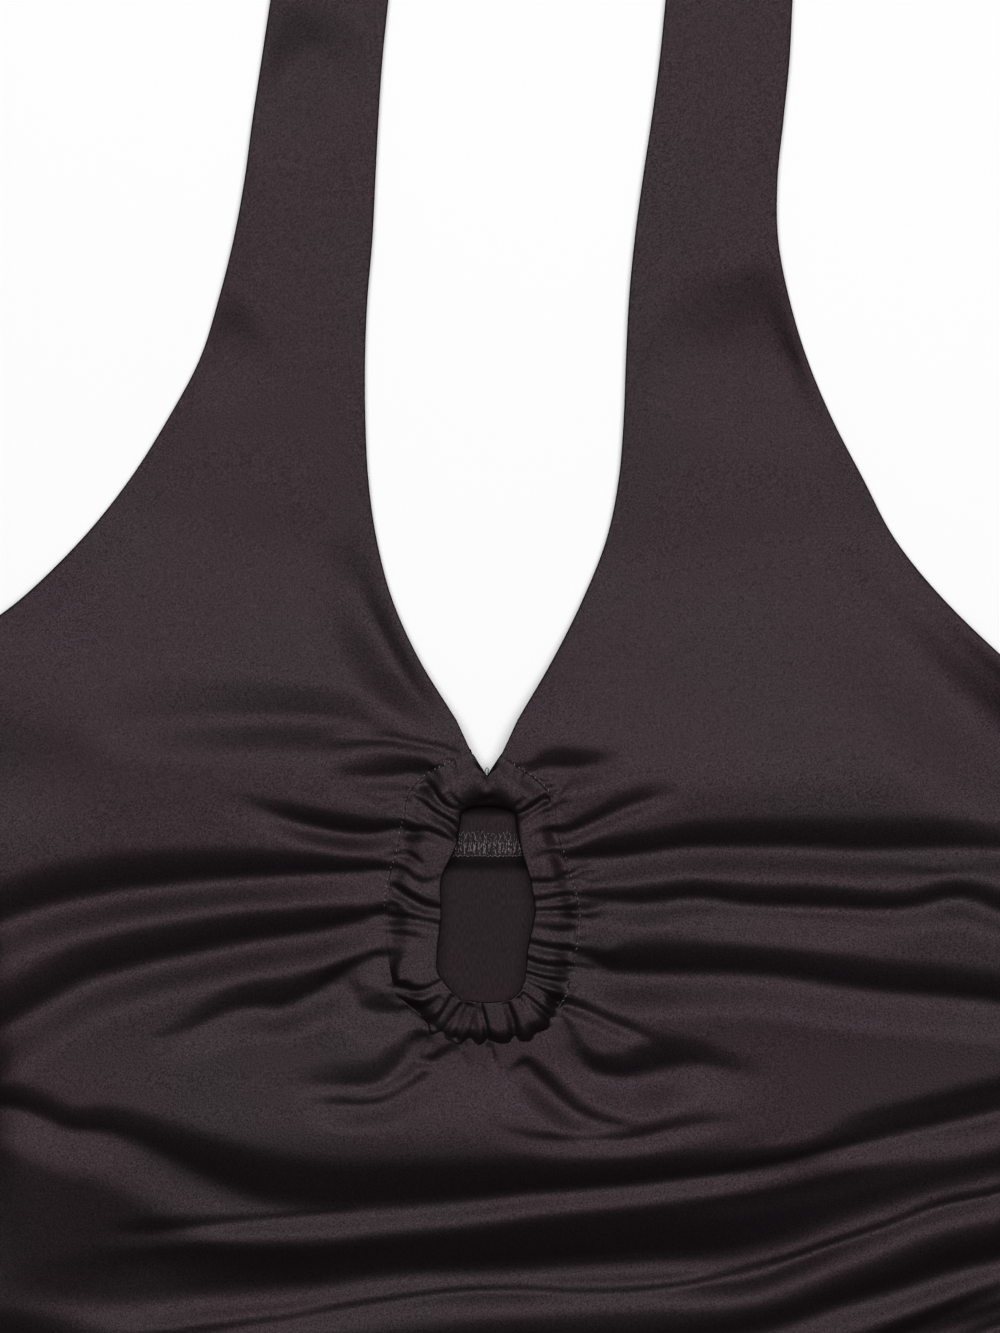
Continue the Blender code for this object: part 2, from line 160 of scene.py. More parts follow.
def knitMaterial(name, colour, turn, gloss, grainRow):
    # a fine grain turned by some degrees, and a faintly uneven tint
    made, shader = newMaterial(name, colour, cloth["roughness"])
    join = made.node_tree.links.new
    place = addNode(made, "ShaderNodeTexCoord")
    turned = addNode(made, "ShaderNodeMapping", {"Rotation": (0, 0, math.radians(turn))})
    join(place.outputs["Object"], turned.inputs["Vector"])
    strength, long, wide = grainRow
    toGrain = (1 / (wide * mm), 1 / (long * mm), 1 / (wide * mm))
    stretched = addNode(made, "ShaderNodeMapping", {"Scale": toGrain})
    join(turned.outputs["Vector"], stretched.inputs["Vector"])
    grain = addNode(made, "ShaderNodeTexNoise", {"Scale": 1.0, "Detail": 1.0})
    join(stretched.outputs["Vector"], grain.inputs["Vector"])
    depth = cloth["grainDepth"] * mm
    bump = addNode(made, "ShaderNodeBump", {"Strength": cloth["bump"], "Distance": depth})
    join(grain.outputs["Fac"], bump.inputs["Height"])
    join(bump.outputs["Normal"], shader.inputs["Normal"])
    # the grain changes how much the cloth shines
    low, high = cloth["grainRange"]
    shines = addNode(made, "ShaderNodeMapRange", {
        "From Min": low, "From Max": high,
        "To Min": gloss * (1 - strength), "To Max": gloss * (1 + strength)})
    join(grain.outputs["Fac"], shines.inputs["Value"])
    join(shines.outputs["Result"], shader.inputs["Specular IOR Level"])
    # the tint changes in which colour it shines
    tint = addNode(made, "ShaderNodeTexNoise", {"Scale": cloth["tintScale"], "Detail": 3.0})
    join(place.outputs["Object"], tint.inputs["Vector"])
    low, high = cloth["tintRange"]
    clearer = addNode(made, "ShaderNodeMapRange", {"From Min": low, "From Max": high})
    join(tint.outputs["Fac"], clearer.inputs["Value"])
    mixed = addNode(made, "ShaderNodeMix")
    mixed.data_type = "RGBA"
    # by number: input 0 is the share, inputs 6 and 7 the two colours and output 2 the mix
    for socket, name in ((6, "coolTint"), (7, "warmTint")):
        mixed.inputs[socket].default_value = (*[a * b for a, b in zip(cloth[name], cloth["shine"])], 1)
    join(clearer.outputs["Result"], mixed.inputs[0])
    join(mixed.outputs[2], shader.inputs["Specular Tint"])
    return made


def speckledThread(name):
    # light and dark fibres twisted into one thread
    made, shader = newMaterial(name, thread["colour"], thread["roughness"])
    join = made.node_tree.links.new
    place = addNode(made, "ShaderNodeTexCoord")
    fibres = addNode(made, "ShaderNodeTexNoise", {"Scale": thread["fibres"], "Detail": 0.0})
    join(place.outputs["Object"], fibres.inputs["Vector"])
    ramp = addNode(made, "ShaderNodeValToRGB")
    tones = (thread["dark"], thread["light"])
    for stop, position, tone in zip(ramp.color_ramp.elements, thread["blend"], tones):
        stop.position = position
        stop.color = (*[tone * c for c in thread["colour"]], 1)
    join(fibres.outputs["Fac"], ramp.inputs["Fac"])
    join(ramp.outputs["Color"], shader.inputs["Base Color"])
    return made


satin = knitMaterial("satinKnit", cloth["colour"], cloth["grainTurn"], cloth["gloss"], cloth["grain"])
inside = knitMaterial("satinKnitInside", cloth["insideColour"], 0, cloth["insideGloss"],
                      cloth["insideGrain"])
threadLook = speckledThread("thread")
popperLook, _ = newMaterial("popper", **popperFinish)
print("scene: materials made")


def addMesh(name, points, faces, look):
    mesh = bpy.data.meshes.new(name)
    mesh.from_pydata(toFrame(points).tolist(), [], faces)
    mesh.materials.append(look)
    mesh.validate()
    mesh.shade_smooth()
    piece = bpy.data.objects.new(name, mesh)
    bpy.context.scene.collection.objects.link(piece)
    return piece


def weld(piece, gap=0.004):
    # joins points that lie closer together than the gap, and turns all faces outwards
    bm = bmesh.new()
    bm.from_mesh(piece.data)
    bmesh.ops.remove_doubles(bm, verts=bm.verts, dist=gap * mm)
    bmesh.ops.recalc_face_normals(bm, faces=bm.faces)
    bm.to_mesh(piece.data)
    bm.free()


def gridFaces(rows, columns, first=0, closed=False):
    # faces between rows of points; closed joins each row's end to its start
    faces = []
    for r in range(rows - 1):
        for c in range(columns if closed else columns - 1):
            d = (c + 1) % columns
            a = first + r * columns
            faces.append((a + c, a + d, a + columns + d, a + columns + c))
    return faces


def tubes(paths, radius, sides, endShare=0.55):
    # round threads along paths of points, thinner at their ends, in one list of faces
    points, faces = [], []
    for path in paths:
        path = np.asarray(path, float)
        along = np.gradient(path, axis=0)
        along /= np.linalg.norm(along, axis=1)[:, None] + 1e-9
        first = len(points)
        across = np.cross(along, (0.0, 0.0, 1.0))
        upright = np.linalg.norm(across, axis=1) < 1e-3
        across[upright] = (1, 0, 0)
        across /= np.linalg.norm(across, axis=1)[:, None]
        up = np.cross(across, along)
        for k in range(len(path)):
            thick = radius * (endShare if k in (0, len(path) - 1) else 1)
            for s in range(sides):
                angle = 2 * math.pi * s / sides
                points.append(path[k] + thick * (math.cos(angle) * across[k]
                                                 + math.sin(angle) * up[k]))
        faces += gridFaces(len(path), sides, first, closed=True)
        last = first + (len(path) - 1) * sides
        faces.append(tuple(range(first, first + sides)))
        faces.append(tuple(range(last, last + sides)))
    return points, faces


def joined(some, more):
    # two lists of points and faces as one
    count = len(some[0])
    return some[0] + more[0], some[1] + [tuple(i + count for i in face) for face in more[1]]


# Each fold is a slope in the cloth that faces down the garment. Its rows are the x
# and y of the slope's lower edge and its width; slope is how steeply the cloth falls
# over that width, at even steps along it, and back is how far below the lower edge
# the cloth takes to rise again. With lean 0 it falls most at the lower edge, and with
# lean 1 most at the top, so that it flattens out softly towards the lower edge.
Fold = namedtuple("Fold", "path slope back lean", defaults=(None, 0.15))
bodyFolds = [
    # on the straps
    Fold([(-74, 206, 14), (-62, 211, 15), (-52, 217, 13), (-42, 226, 9)], (.08, .12, .09, 0), 28,
         .5),
    Fold([(52, 137, 12), (63, 131, 16), (75, 127, 20), (86, 125, 22), (95, 124, 22)],
         (0, .055, .09, .105, .09), 32, .6),
    Fold([(82, 126, 2), (87, 125, 3), (93, 122.8, 3)], (0, .07, .1), 7),
    Fold([(-84, 130, 12), (-78, 132, 12), (-70, 137, 8)], (.12, .08, 0), 24, .5),
    # along the neckline's left side, a hollow beside the turned edge
    Fold([(-43, 70, 6), (-38, 53, 9), (-31, 39, 10), (-23, 26.5, 10), (-14, 17, 7), (-7, 11, 4)],
         (0, .15, .22, .22, .16, .05), 15, .4),
    Fold([(8, 12, 3), (17, 30, 4), (26, 48, 4), (33, 66, 4)], (0, .06, .06, 0), 8),
    # left of the keyhole
    Fold([(-120, 14, 9), (-104, 15, 11), (-86, 15.5, 11), (-62, 16, 9), (-45, 15, 8), (-33, 12.5, 6),
          (-22, 10, 4)], (0, .09, .13, .18, .22, .2, .1), 13, .3),
    Fold([(-50, 8.2, 1.8), (-40, 9.4, 2), (-30, 9.6, 2), (-22, 8.2, 1.6), (-14, 6.8, 1.4),
          (-8.5, 5, 1)], (0, .14, .24, .3, .32, .25), 3),
    Fold([(-48, -.2, 4), (-40, -1.6, 6), (-32, -1.8, 6), (-25, -1, 4.6), (-18, -.2, 3),
          (-15.5, .3, 1)], (0, .16, .26, .32, .34, .3), 9, .3),
    Fold([(-38, -7.2, 1.4), (-30, -8, 1.6), (-24, -8.6, 1)], (0, .16, .2), 3),
    Fold([(-80, -7, 2), (-70, -10.6, 3), (-62, -13.6, 4), (-55, -16, 4.6), (-48, -17.6, 4.6),
          (-42, -18.6, 4.6), (-35, -18.8, 3.8), (-30, -18, 3), (-24.5, -17, 1.8)],
         (0, .05, .16, .28, .35, .38, .4, .4, .4), 7),
    Fold([(-172, -58, 8), (-146, -45.5, 9), (-130, -40, 9.5), (-120, -38, 9.5), (-110, -36, 9.5),
          (-100, -34.8, 9), (-85, -33, 8), (-70, -32, 7), (-55, -31, 5.5), (-40, -30.3, 3.6),
          (-28, -29.2, 1.6)], (.28, .28, .28, .3, .34, .4), (15, 14, 12, 11, 10)),
    Fold([(-168, -92, 8), (-146, -77.5, 9), (-135, -71, 9), (-120, -63, 9.5), (-110, -60, 9.5),
          (-100, -57.3, 9.3), (-90, -55.2, 9), (-80, -53, 8.5), (-70, -51, 8), (-60, -49.5, 7),
          (-50, -48, 6.4), (-40, -45.5, 4.4), (-35, -43.6, 2.6), (-30, -42.3, 1.6)],
         (.28, .28, .28, .3, .34, .4), (16, 15, 13, 12, 11)),
    Fold([(-99, -80, 1.6), (-94, -79, 2.5), (-88, -77, 4), (-80, -73.3, 5.2), (-75, -71.5, 6.2),
          (-68, -70.6, 7), (-62, -71, 7.4), (-55, -68, 6), (-50, -65.5, 5.4), (-45, -62, 3.8),
          (-40, -58.5, 2.6), (-35, -56.3, 2), (-30, -54.2, 1.3)], (.08, .22, .26, .3, .38, .4), 11),
    Fold([(-38, -59.5, 2), (-41, -65, 5.5), (-38.4, -69.8, 6), (-34, -72, 5.6), (-28, -72.4, 5.2),
          (-22, -73, 3.6)], (.06, .14, .18, .22, .24, .2), 11),
    Fold([(-60, -94, 3), (-50, -94, 5), (-40, -94.4, 6), (-34, -94, 6), (-30, -92, 5.5),
          (-26, -88, 5), (-22, -82, 4), (-19, -79.5, 2)], (0, .1, .2, .25, .28, .3), 7),
    Fold([(-52, -99.2, 1.4), (-44, -100, 2.8), (-36, -100.2, 2.8), (-30, -99, 2.6),
          (-24, -95.4, 2.2), (-18, -91.2, 1.7), (-9, -84, 1)], (.1, .4, .46, .46, .4, .34, .2), 9),
    Fold([(-20.5, -86, 1), (-17, -87.3, 2.4), (-13, -85, 2), (-9.5, -82.5, 1)],
         (.2, .4, .35, .3), 3),
    # right of the keyhole
    Fold([(12, .1, 1), (16, .8, 3.6), (20, 1, 4.8), (25, .8, 5), (30, 1.4, 4.4), (35, 2.6, 3.4),
          (42, 4, 2.4)], (.2, .26, .3, .3, .24, .14, 0), 9, .3),
    Fold([(19.4, -8.4, .8), (21.6, -6, 1.2), (23.2, -3.2, 1.2), (23.6, -1, .8)], (.2, .3, .25, 0), 2),
    Fold([(20.6, -18.8, 2), (24, -18.6, 2.4), (28, -17.2, 2.6), (34, -14.4, 3), (40, -11.6, 3.6),
          (47, -9, 4.2), (58, -5.5, 4)], (.4, .38, .32, .25, .22, .12, 0), 5),
    Fold([(22.6, -25.6, 1.4), (27, -26.2, 3), (33, -26, 4.6), (40, -25.6, 5.2), (50, -24.2, 5.4),
          (57, -23.2, 5.8), (65, -22.8, 6.4), (80, -22.8, 6.8), (95, -23, 7.2), (110, -23.8, 7.8),
          (125, -23.6, 7.8), (140, -23.1, 7.4), (154, -23.6, 7), (176, -25, 7)],
         (.4, .34, .3, .28, .28, .28), 11),
    Fold([(118, -27.4, 1.4), (135, -28.8, 2), (150, -27.8, 1.4)], (0, .12, 0)),
    Fold([(23, -32.4, 1), (25.5, -31, 1.1), (28, -29.9, 1.2), (31.5, -29.5, 1.4), (34, -30, 1)],
         (.4, .4, .35, .25, 0)),
    Fold([(28, -31.8, .8), (32, -32.2, 1), (36, -30.8, 1)], (.2, .3, 0)),
    Fold([(26, -37.3, 1), (30, -38.2, 2.6), (36, -38.8, 3.6), (45, -39.7, 4.8), (52, -39.2, 5),
          (60, -38.2, 5.2), (67, -38.4, 5), (75, -39.7, 5), (85, -40.5, 5.2), (95, -40.7, 5.4),
          (105, -41, 5.2), (115, -41.5, 4.6), (125, -41, 4), (132, -39.7, 4.2), (138, -38.2, 5.2),
          (143, -38.2, 5.4), (148, -39.7, 5), (154, -42.2, 5), (175, -48, 5)], .32, 9),
    Fold([(26.5, -41.7, 1.8), (31, -41.9, 2.2), (35, -40.8, 1.6), (38, -39.8, 1)],
         (.4, .35, .2, 0), 3),
    Fold([(56, -44.8, 1.6), (75, -46.4, 2.6), (100, -48.2, 2.8), (124, -49.2, 1.8)],
         (.06, .2, .22, .06), 7),
    Fold([(25.4, -54.2, 1.4), (31, -56.2, 2.8), (35, -58.8, 5), (40, -60.4, 7), (50, -60.7, 8),
          (60, -60.7, 8), (75, -60.7, 7.6), (90, -61.8, 7.6), (105, -64.2, 7.8), (120, -66, 7.4),
          (135, -67.2, 7.4), (154, -69.3, 7), (173, -74, 7)], (.4, .32, .28, .28, .28), 14),
    Fold([(25, -59, 1.2), (28, -59.2, 1.3), (32, -59.8, 1.2)], (.4, .4, .1)),
    Fold([(23.5, -69.8, 2.4), (30, -72, 2.6), (36, -74.8, 2.6), (42, -77.4, 2.6), (48, -79.8, 2)],
         (.4, .35, .3, .25, .15), 4),
    Fold([(21.6, -71.5, 1), (24, -76.6, 1.3), (26, -81, 1.6), (28.5, -86, 3), (32, -89.7, 4.6),
          (36, -91.2, 5.6), (42, -91.5, 6), (48, -90.6, 8.6), (52, -89.6, 9.4), (58, -88.2, 7.6),
          (64, -87.8, 6), (72, -89.5, 4.6), (84, -92, 4)],
         (.38, .38, .36, .3, .26, .22, .13, 0), 15),
    Fold([(11.5, -87.4, 2), (16.5, -93.2, 3.6), (22, -98.8, 4.2), (28, -103, 4), (35, -105.4, 3),
          (44, -107, 2.2)], (.38, .44, .44, .4, .3, .1), 9),
    Fold([(-2, -103, 1), (4, -106.8, 1.2), (9, -108.8, 1.6), (15, -110, 1.8), (22, -110.6, 2),
          (30, -110.8, 2), (38, -110.6, 2.2), (46, -109.6, 2.8), (54, -107.6, 3.4),
          (66, -105.4, 3), (80, -104.6, 2)], (0, .13, .22, .26, .26, .24, .17, .08, 0), 6),
    Fold([(104, 66, 7), (114, 53, 10), (125, 40, 13), (136, 29, 15), (147, 19, 16), (157, 11, 17),
          (167, 5, 18)], (0, .08, .12, .17, .22, .24, .24), 34, .2),
    # below the keyhole
    Fold([(-6.6, -82, 1), (-6.6, -87, 1), (-6, -94, 1)], (.3, .2, 0)),
    Fold([(.8, -82.5, 1), (2, -86.5, 1.2), (3.6, -91, 1)], (.35, .3, 0)),
    # right across the body
    Fold([(-172, -101, 5), (-146, -100.3, 6), (-135, -102.8, 6), (-125, -107.2, 5.4),
          (-115, -108, 6.6), (-105, -111.2, 7.4), (-95, -116, 8.8), (-85, -121, 10),
          (-77, -124.6, 10.6), (-68, -128, 11.2), (-58, -130, 11.2), (-50, -130.8, 11),
          (-40, -131, 10.8), (-20, -130, 10.4), (0, -128.2, 9.6), (12, -126.6, 8.6),
          (25, -125.5, 7), (45, -123.7, 6.4), (60, -121.8, 6), (75, -119.8, 5.4), (90, -117, 4.4),
          (98, -114.8, 4.2), (106, -112.6, 5.4), (115, -110.4, 6.8), (125, -108.2, 7.2),
          (135, -106.2, 7.6), (145, -104, 8), (154, -101.7, 7.8), (172, -96, 7)],
         (.3, .3, .26, .22, .24, .28, .3, .3, .36, .32), (14, 14, 18, 19, 11, 8.5, 8, 8, 9, 12, 12),
         (.1, .1, .2, .35, .3, .15, .1, .1, .2, .3)),
    # broad, hardly sloping cloth below it and above it
    Fold([(-170, -166, 54), (-150, -164, 52), (-134, -160, 46), (-120, -154, 38),
          (-108, -148, 30), (-96, -143, 24), (-84, -139, 17), (-72, -136, 11)],
         (.006, .006, .008, .016, .03, .04, .034, .02), 14, .6),
    Fold([(-176, -4, 36), (-150, -2, 34), (-128, 1, 28), (-112, 4, 20)], (.04, .04, .03, 0), 22, .5),
    Fold([(40, -124, 24), (60, -121.8, 40), (75, -119.8, 46), (98, -114.8, 46), (125, -108.2, 42),
          (154, -101.7, 36), (172, -96, 34)], (0, .03, .035, .035, .035), 8, .5),
    # between it and the waist
    Fold([(-116, -138.8, 3.5), (-100, -138, 3.6), (-85, -136.4, 2.8), (-70, -135, 1.9),
          (-55, -133.6, 1.6), (-40, -132, 1)], (0, .17, .22, .24, .22, .14), 6),
    Fold([(-146, -153, 4), (-135, -156, 8), (-120, -159, 12), (-108, -160, 14.5), (-98, -159, 15),
          (-88, -157.4, 13), (-75, -157, 12.4), (-60, -155.8, 11.6), (-50, -154.4, 11),
          (-40, -152.6, 10.6), (-30, -151.2, 11), (-20, -150.3, 11.8), (0, -149.8, 14),
          (12, -149.3, 15), (25, -148.3, 15.5), (40, -147.5, 16), (50, -147, 17),
          (58, -147, 18), (66, -147, 19), (74, -146.4, 19.6), (84, -144.2, 20),
          (95, -140.4, 18.6), (105, -136, 17), (115, -132.2, 15.6), (125, -128.6, 14.2),
          (135, -125.4, 13), (145, -122.8, 12), (154, -120.4, 11.4), (170, -115, 11)],
         (0, .1, .22, .3, .28, .25, .24, .24, .24, .24, .24, .24), 13,
         (.2, .6, .85, .6, .2, .1, .3, .75, .65, .5)),
    Fold([(-104, -171, 2), (-85, -168.6, 2.4), (-70, -166.4, 2.6), (-60, -165.2, 2.6),
          (-50, -163.2, 2.6), (-40, -161.2, 2.4), (-30, -159.5, 2.2), (-20, -158, 2),
          (-10, -156.8, 2), (0, -156.3, 2), (12, -156.3, 2.2), (25, -157, 2.4), (40, -156.8, 2.4),
          (52, -155.8, 2.2), (62, -154.5, 2.2), (72, -152.3, 2.2), (82, -149.8, 2.2),
          (92, -146.8, 2), (102, -143, 2), (112, -139.7, 2.2), (122, -136.2, 2.2),
          (132, -132, 2.2), (140, -129.7, 2.4), (154, -126.7, 2.6), (170, -121, 3)],
         (.4, .42, .5, .42, .64, .5, .4), 14),
    Fold([(-60, -178, 6), (-25, -177, 8), (4, -175, 9), (24, -174, 9), (43, -173.4, 9.4),
          (62, -172, 9.4), (75, -170, 9), (85, -167.8, 9), (95, -164.6, 9.4), (105, -160.8, 9.4),
          (115, -158, 9.6), (125, -155, 10.4), (135, -151.4, 11), (145, -148.4, 10.6),
          (154, -146.2, 10), (168, -141, 9)], .26, 10),
    Fold([(112, -176, 3), (122, -170.5, 4), (136, -164, 4), (148, -158.4, 4), (162, -153, 4)],
         .3, 4),
    Fold([(128, -172, 2.6), (140, -166.4, 3), (150, -162.6, 3), (162, -158, 3)], .3, 3),
    Fold([(139, -173, 2.4), (150, -168.6, 2.8), (162, -164, 3)], .3, 3),
    # from the waist down
    Fold([(-157, -168, 7), (-120, -176, 9), (-80, -184, 9), (-30, -190, 8), (30, -190, 8),
          (90, -182, 10), (130, -172, 9), (164, -162, 8)], (.24, .2, .24, .18, .24), 11),
    Fold([(-156, -192, 7), (-110, -200, 9), (-50, -205, 8), (10, -205, 9), (80, -198, 9),
          (130, -188, 8), (162, -180, 7)], (.22, .26, .16, .24), 12),
    Fold([(-156, -215, 6), (-120, -220, 8), (-60, -222, 9), (20, -224, 8), (90, -216, 9),
          (161, -200, 7)], (.2, .24, .26, .18), 12),
    Fold([(-158, -238, 7), (-100, -244, 9), (-30, -244, 10), (40, -242, 9), (110, -232, 8),
          (162, -218, 7)], (.24, .2, .24, .24), 13),
    Fold([(-161, -260, 7), (-110, -266, 9), (-50, -268, 9), (30, -266, 8), (100, -256, 9),
          (164, -238, 8)], (.2, .24, .18, .24), 13),
    Fold([(-164, -280, 7), (-100, -292, 9), (-20, -298, 9), (60, -292, 9), (120, -276, 9),
          (168, -256, 8)], (.22, .18, .2, .22), 13),
    Fold([(-150, -300, 6), (-100, -316, 8), (-30, -326, 8), (50, -322, 8), (120, -302, 7),
          (160, -284, 6)], (.14, .12, .14), 13),
    Fold([(-96, -342, 5), (-40, -358, 6), (10, -361, 7), (60, -354, 6), (100, -336, 5)],
         (.08, .1, .08), 12),
]
# Wide, low waves in the cloth of the body.
Swell = namedtuple("Swell", "x y across along turn height")
swells = [
    Swell(-88, 66, 46, 26, 30, .5),
    Swell(95, 58, 50, 26, -35, .5),
    Swell(80, -6, 60, 9, 0, .35),
    Swell(0, -112, 90, 9, 0, .3),
]


# How each fold's slope is rounded, as shares of its own width.
foldShape = dict(
    reach=1.25,       # the slope's whole width
    roundness=1.6,
    back=1.7,         # the rise below it, where a fold names none
    blur=0.17,        # how softly it starts and ends across its width
    margin=0.2,       # room for that when the points near a fold are looked for
    fade=0.6,         # how far it runs on past its ends
    narrowest=0.3,    # in millimetres
)


def foldProfile(above, wide, back, lean):
    # share of a fold's depth at a distance above its lower edge, or below it if negative
    share = np.clip(above / (foldShape["reach"] * wide), 0, 1)
    slope = (1 - lean) * (1 - share) ** foldShape["roundness"] + lean * (1 - share ** 2)
    return np.where(above > 0, slope, 1 - smoothstep(0, 1, -above / back))


def foldDepth(points, folds, strength=1.0, spread=1.0):
    # how far the cloth lies below its full height at each point, for all the folds
    down = np.zeros(len(points))
    for fold in folds:
        path = curveThrough(fold.path, 5)
        line, width = path[:, :2], np.maximum(path[:, 2], foldShape["narrowest"])
        back = foldShape["back"] * float(np.mean(width)) if fold.back is None else fold.back
        back = spread * np.asarray(back, float)
        length = lengthAlong(line)
        widest = float(np.max(width))
        reach = foldShape["margin"] * widest + max(foldShape["reach"] * widest, float(np.max(back)))
        low, high = line.min(axis=0) - reach, line.max(axis=0) + reach
        near = np.where(np.all((points > low) & (points < high), axis=1))[0]
        if not len(near):
            continue
        here = points[near]
        best = np.full(len(near), np.inf)
        along, side, past = (np.zeros(len(near)) for _ in range(3))
        way = 1 if line[-1][0] >= line[0][0] else -1
        for k in range(len(line) - 1):
            run = line[k + 1] - line[k]
            step = math.hypot(*run)
            t = ((here - line[k]) @ run) / step ** 2
            held = np.clip(t, 0, 1)
            gap = here - (line[k] + held[:, None] * run)
            distance = np.hypot(gap[:, 0], gap[:, 1])
            closer = distance < best
            best[closer] = distance[closer]
            along[closer] = length[k] + held[closer] * step
            side[closer] = way * (gap[closer] @ np.array([-run[1], run[0]]))
            past[closer] = np.abs(t[closer] - held[closer]) * step
        wide = np.interp(along, length, width)
        depth = cloth["drape"] * strength * through(fold.slope, along / length[-1]) * wide
        lean = through(fold.lean, along / length[-1])
        rise = through(back if back.ndim else float(back), along / length[-1])
        above, blur = np.where(side > 0, best, -best), foldShape["blur"] * wide
        # the mean of three places, so that the slope has no sharp ends
        share = sum(weight * foldProfile(above + step * blur, wide, rise, lean)
                    for weight, step in ((0.3, -1), (0.4, 0), (0.3, 1)))
        down[near] += depth * share * np.exp(-(past / (foldShape["fade"] * wide)) ** 2)
    return down


def swellHeight(points, rows):
    up = np.zeros(len(points))
    for row in rows:
        turn = math.radians(row.turn)
        dx, dy = points[:, 0] - row.x, points[:, 1] - row.y
        a = (dx * math.cos(turn) + dy * math.sin(turn)) / row.across
        b = (-dx * math.sin(turn) + dy * math.cos(turn)) / row.along
        up += row.height * np.exp(-(a * a + b * b))
    return up


# Short folds that run in from the ruched side seams, all of unequal length.
gathers = dict(
    top=-172, bottom=-286,
    pitch=9.5, uneven=(0.55, 1.35),
    length=(12, 46),
    lean=(0.10, -0.22),    # at the left seam and at the right one
    drift=2.5,
    width=(2.2, 4.2),
    slope=(.15, .34),
    seed=4,
)


def sideGathers():
    chance = np.random.default_rng(gathers["seed"])
    made = []
    for sign, lean in zip((-1, 1), gathers["lean"]):
        y = gathers["top"]
        while y > gathers["bottom"]:
            y -= gathers["pitch"] * chance.uniform(*gathers["uneven"])
            length = chance.uniform(*gathers["length"])
            x = sideX(y, sign)
            drift = lean * length + chance.uniform(-gathers["drift"], gathers["drift"])
            slope = chance.uniform(*gathers["slope"])
            width = chance.uniform(*gathers["width"])
            made.append(Fold([(x, y, width), (x - sign * 0.5 * length, y + 0.35 * drift, width),
                              (x - sign * length, y + drift, width)], (slope, .8 * slope, 0)))
    return made


# The cloth also puckers at the stitches round the keyhole.
puckers = dict(
    start=6.0, stop=14,    # distances from the two ends of each seam
    spacing=2.6, uneven=(.6, 1.5),
    length=(2.0, 6.5),
    drift=.35,
    width=(.7, 1.5),
    slope=(.12, .34),
    seed=8,
)


def seamPuckers():
    chance = np.random.default_rng(puckers["seed"])
    made = []
    for seam, sign in ((leftSeam, -1), (rightSeam, 1)):
        line = curveThrough([(s.x, s.y) for s in seam], 10)
        length = lengthAlong(line)
        at = puckers["start"]
        while at < length[-1] - puckers["stop"]:
            x, y = placeAlong(line, length, at)
            reach = chance.uniform(*puckers["length"])
            slope, width = chance.uniform(*puckers["slope"]), chance.uniform(*puckers["width"])
            drift = reach * chance.uniform(-puckers["drift"], puckers["drift"])
            made.append(Fold([(x - .2 * sign, y, width), (x + .5 * sign * reach, y + .4 * drift, width),
                              (x + sign * reach, y + drift, .7 * width)], (slope, .7 * slope, 0),
                             1.6 * width))
            at += puckers["spacing"] * chance.uniform(*puckers["uneven"])
    return made


# Each row is one line across half of the front: its outer end, its inner end, and
# how far its middle hangs below the straight line.
Line = namedtuple("Line", "outX outY inX inY sag")
leftLines = [
    Line(-64.8, 231, -29.7, 231, 0),
    Line(-67.5, 213, -31.5, 213, 0),
    Line(-70.2, 195, -32.7, 195, 0),
    Line(-72.6, 177, -33.6, 177, 0),
    Line(-75.9, 159, -34.5, 159, 0),
    Line(-80.4, 141, -36.0, 141, 0),
    Line(-86.1, 123, -36.7, 123, 0),
    Line(-95.7, 105, -36.6, 105, 0),
    Line(-107.1, 87, -35.7, 87, 0),
    Line(-121.5, 69, -33.2, 69, 0),
    Line(-139.8, 51, -28.5, 51, 0),
    Line(-156, 39.6, -20.4, 33, 1),
    Line(-172, 29, -9.3, 15, 2),
]
rightLines = [
    Line(91.5, 231, 53.7, 231, 0),
    Line(90.6, 213, 51.9, 213, 0),
    Line(88.8, 195, 49.5, 195, 0),
    Line(87.0, 177, 46.8, 177, 0),
    Line(87.2, 159, 44.4, 159, 0),
    Line(90.6, 141, 42.7, 141, 0),
    Line(96.0, 123, 41.8, 123, 0),
    Line(103.5, 105, 41.1, 105, 0),
    Line(112.8, 87, 39.6, 87, 0),
    Line(122.3, 69, 35.9, 69, 0),
    Line(136.8, 51, 28.8, 51, 0),
    Line(157, 31.5, 19.8, 33, 0),
    Line(178, 14, 9.3, 15, 1),
]
# The casing's seam, from the V down to its lowest point, and the y on the side
# seam that each place on it is level with.
Seam = namedtuple("Seam", "x y sideY")
leftSeam = [
    Seam(-4.9, 5.4, 20), Seam(-12, 1.9, 13), Seam(-18, -1.3, 6), Seam(-22.4, -5, 0),
    Seam(-24.3, -9.5, -8), Seam(-25, -14.5, -17), Seam(-26.3, -20, -28), Seam(-27.2, -25.5, -40),
    Seam(-29.2, -31, -50), Seam(-30.4, -38, -60), Seam(-30.4, -46, -69), Seam(-29.8, -54, -76),
    Seam(-28.8, -61, -81), Seam(-26.6, -67.4, -85), Seam(-21.2, -72.4, -88), Seam(-15.4, -76.4, -90.5),
    Seam(-9, -79, -92.5), Seam(0, -80, -94),
]
rightSeam = [
    Seam(4.3, 4.2, 6), Seam(10, 0.2, 2), Seam(14.4, -2.4, -2), Seam(18.6, -6.6, -7),
    Seam(20.3, -11, -12), Seam(20.8, -17, -18), Seam(22.6, -23.5, -25), Seam(24.3, -29.5, -32),
    Seam(26.3, -36, -40), Seam(27.6, -42.5, -48), Seam(27.2, -49, -56), Seam(26.3, -56, -63),
    Seam(25.5, -62, -69), Seam(23, -68.4, -75), Seam(19.6, -73, -80), Seam(14.2, -76.6, -85),
    Seam(8, -79.2, -88.5), Seam(0, -80, -91),
]
Side = namedtuple("Side", "y left right")
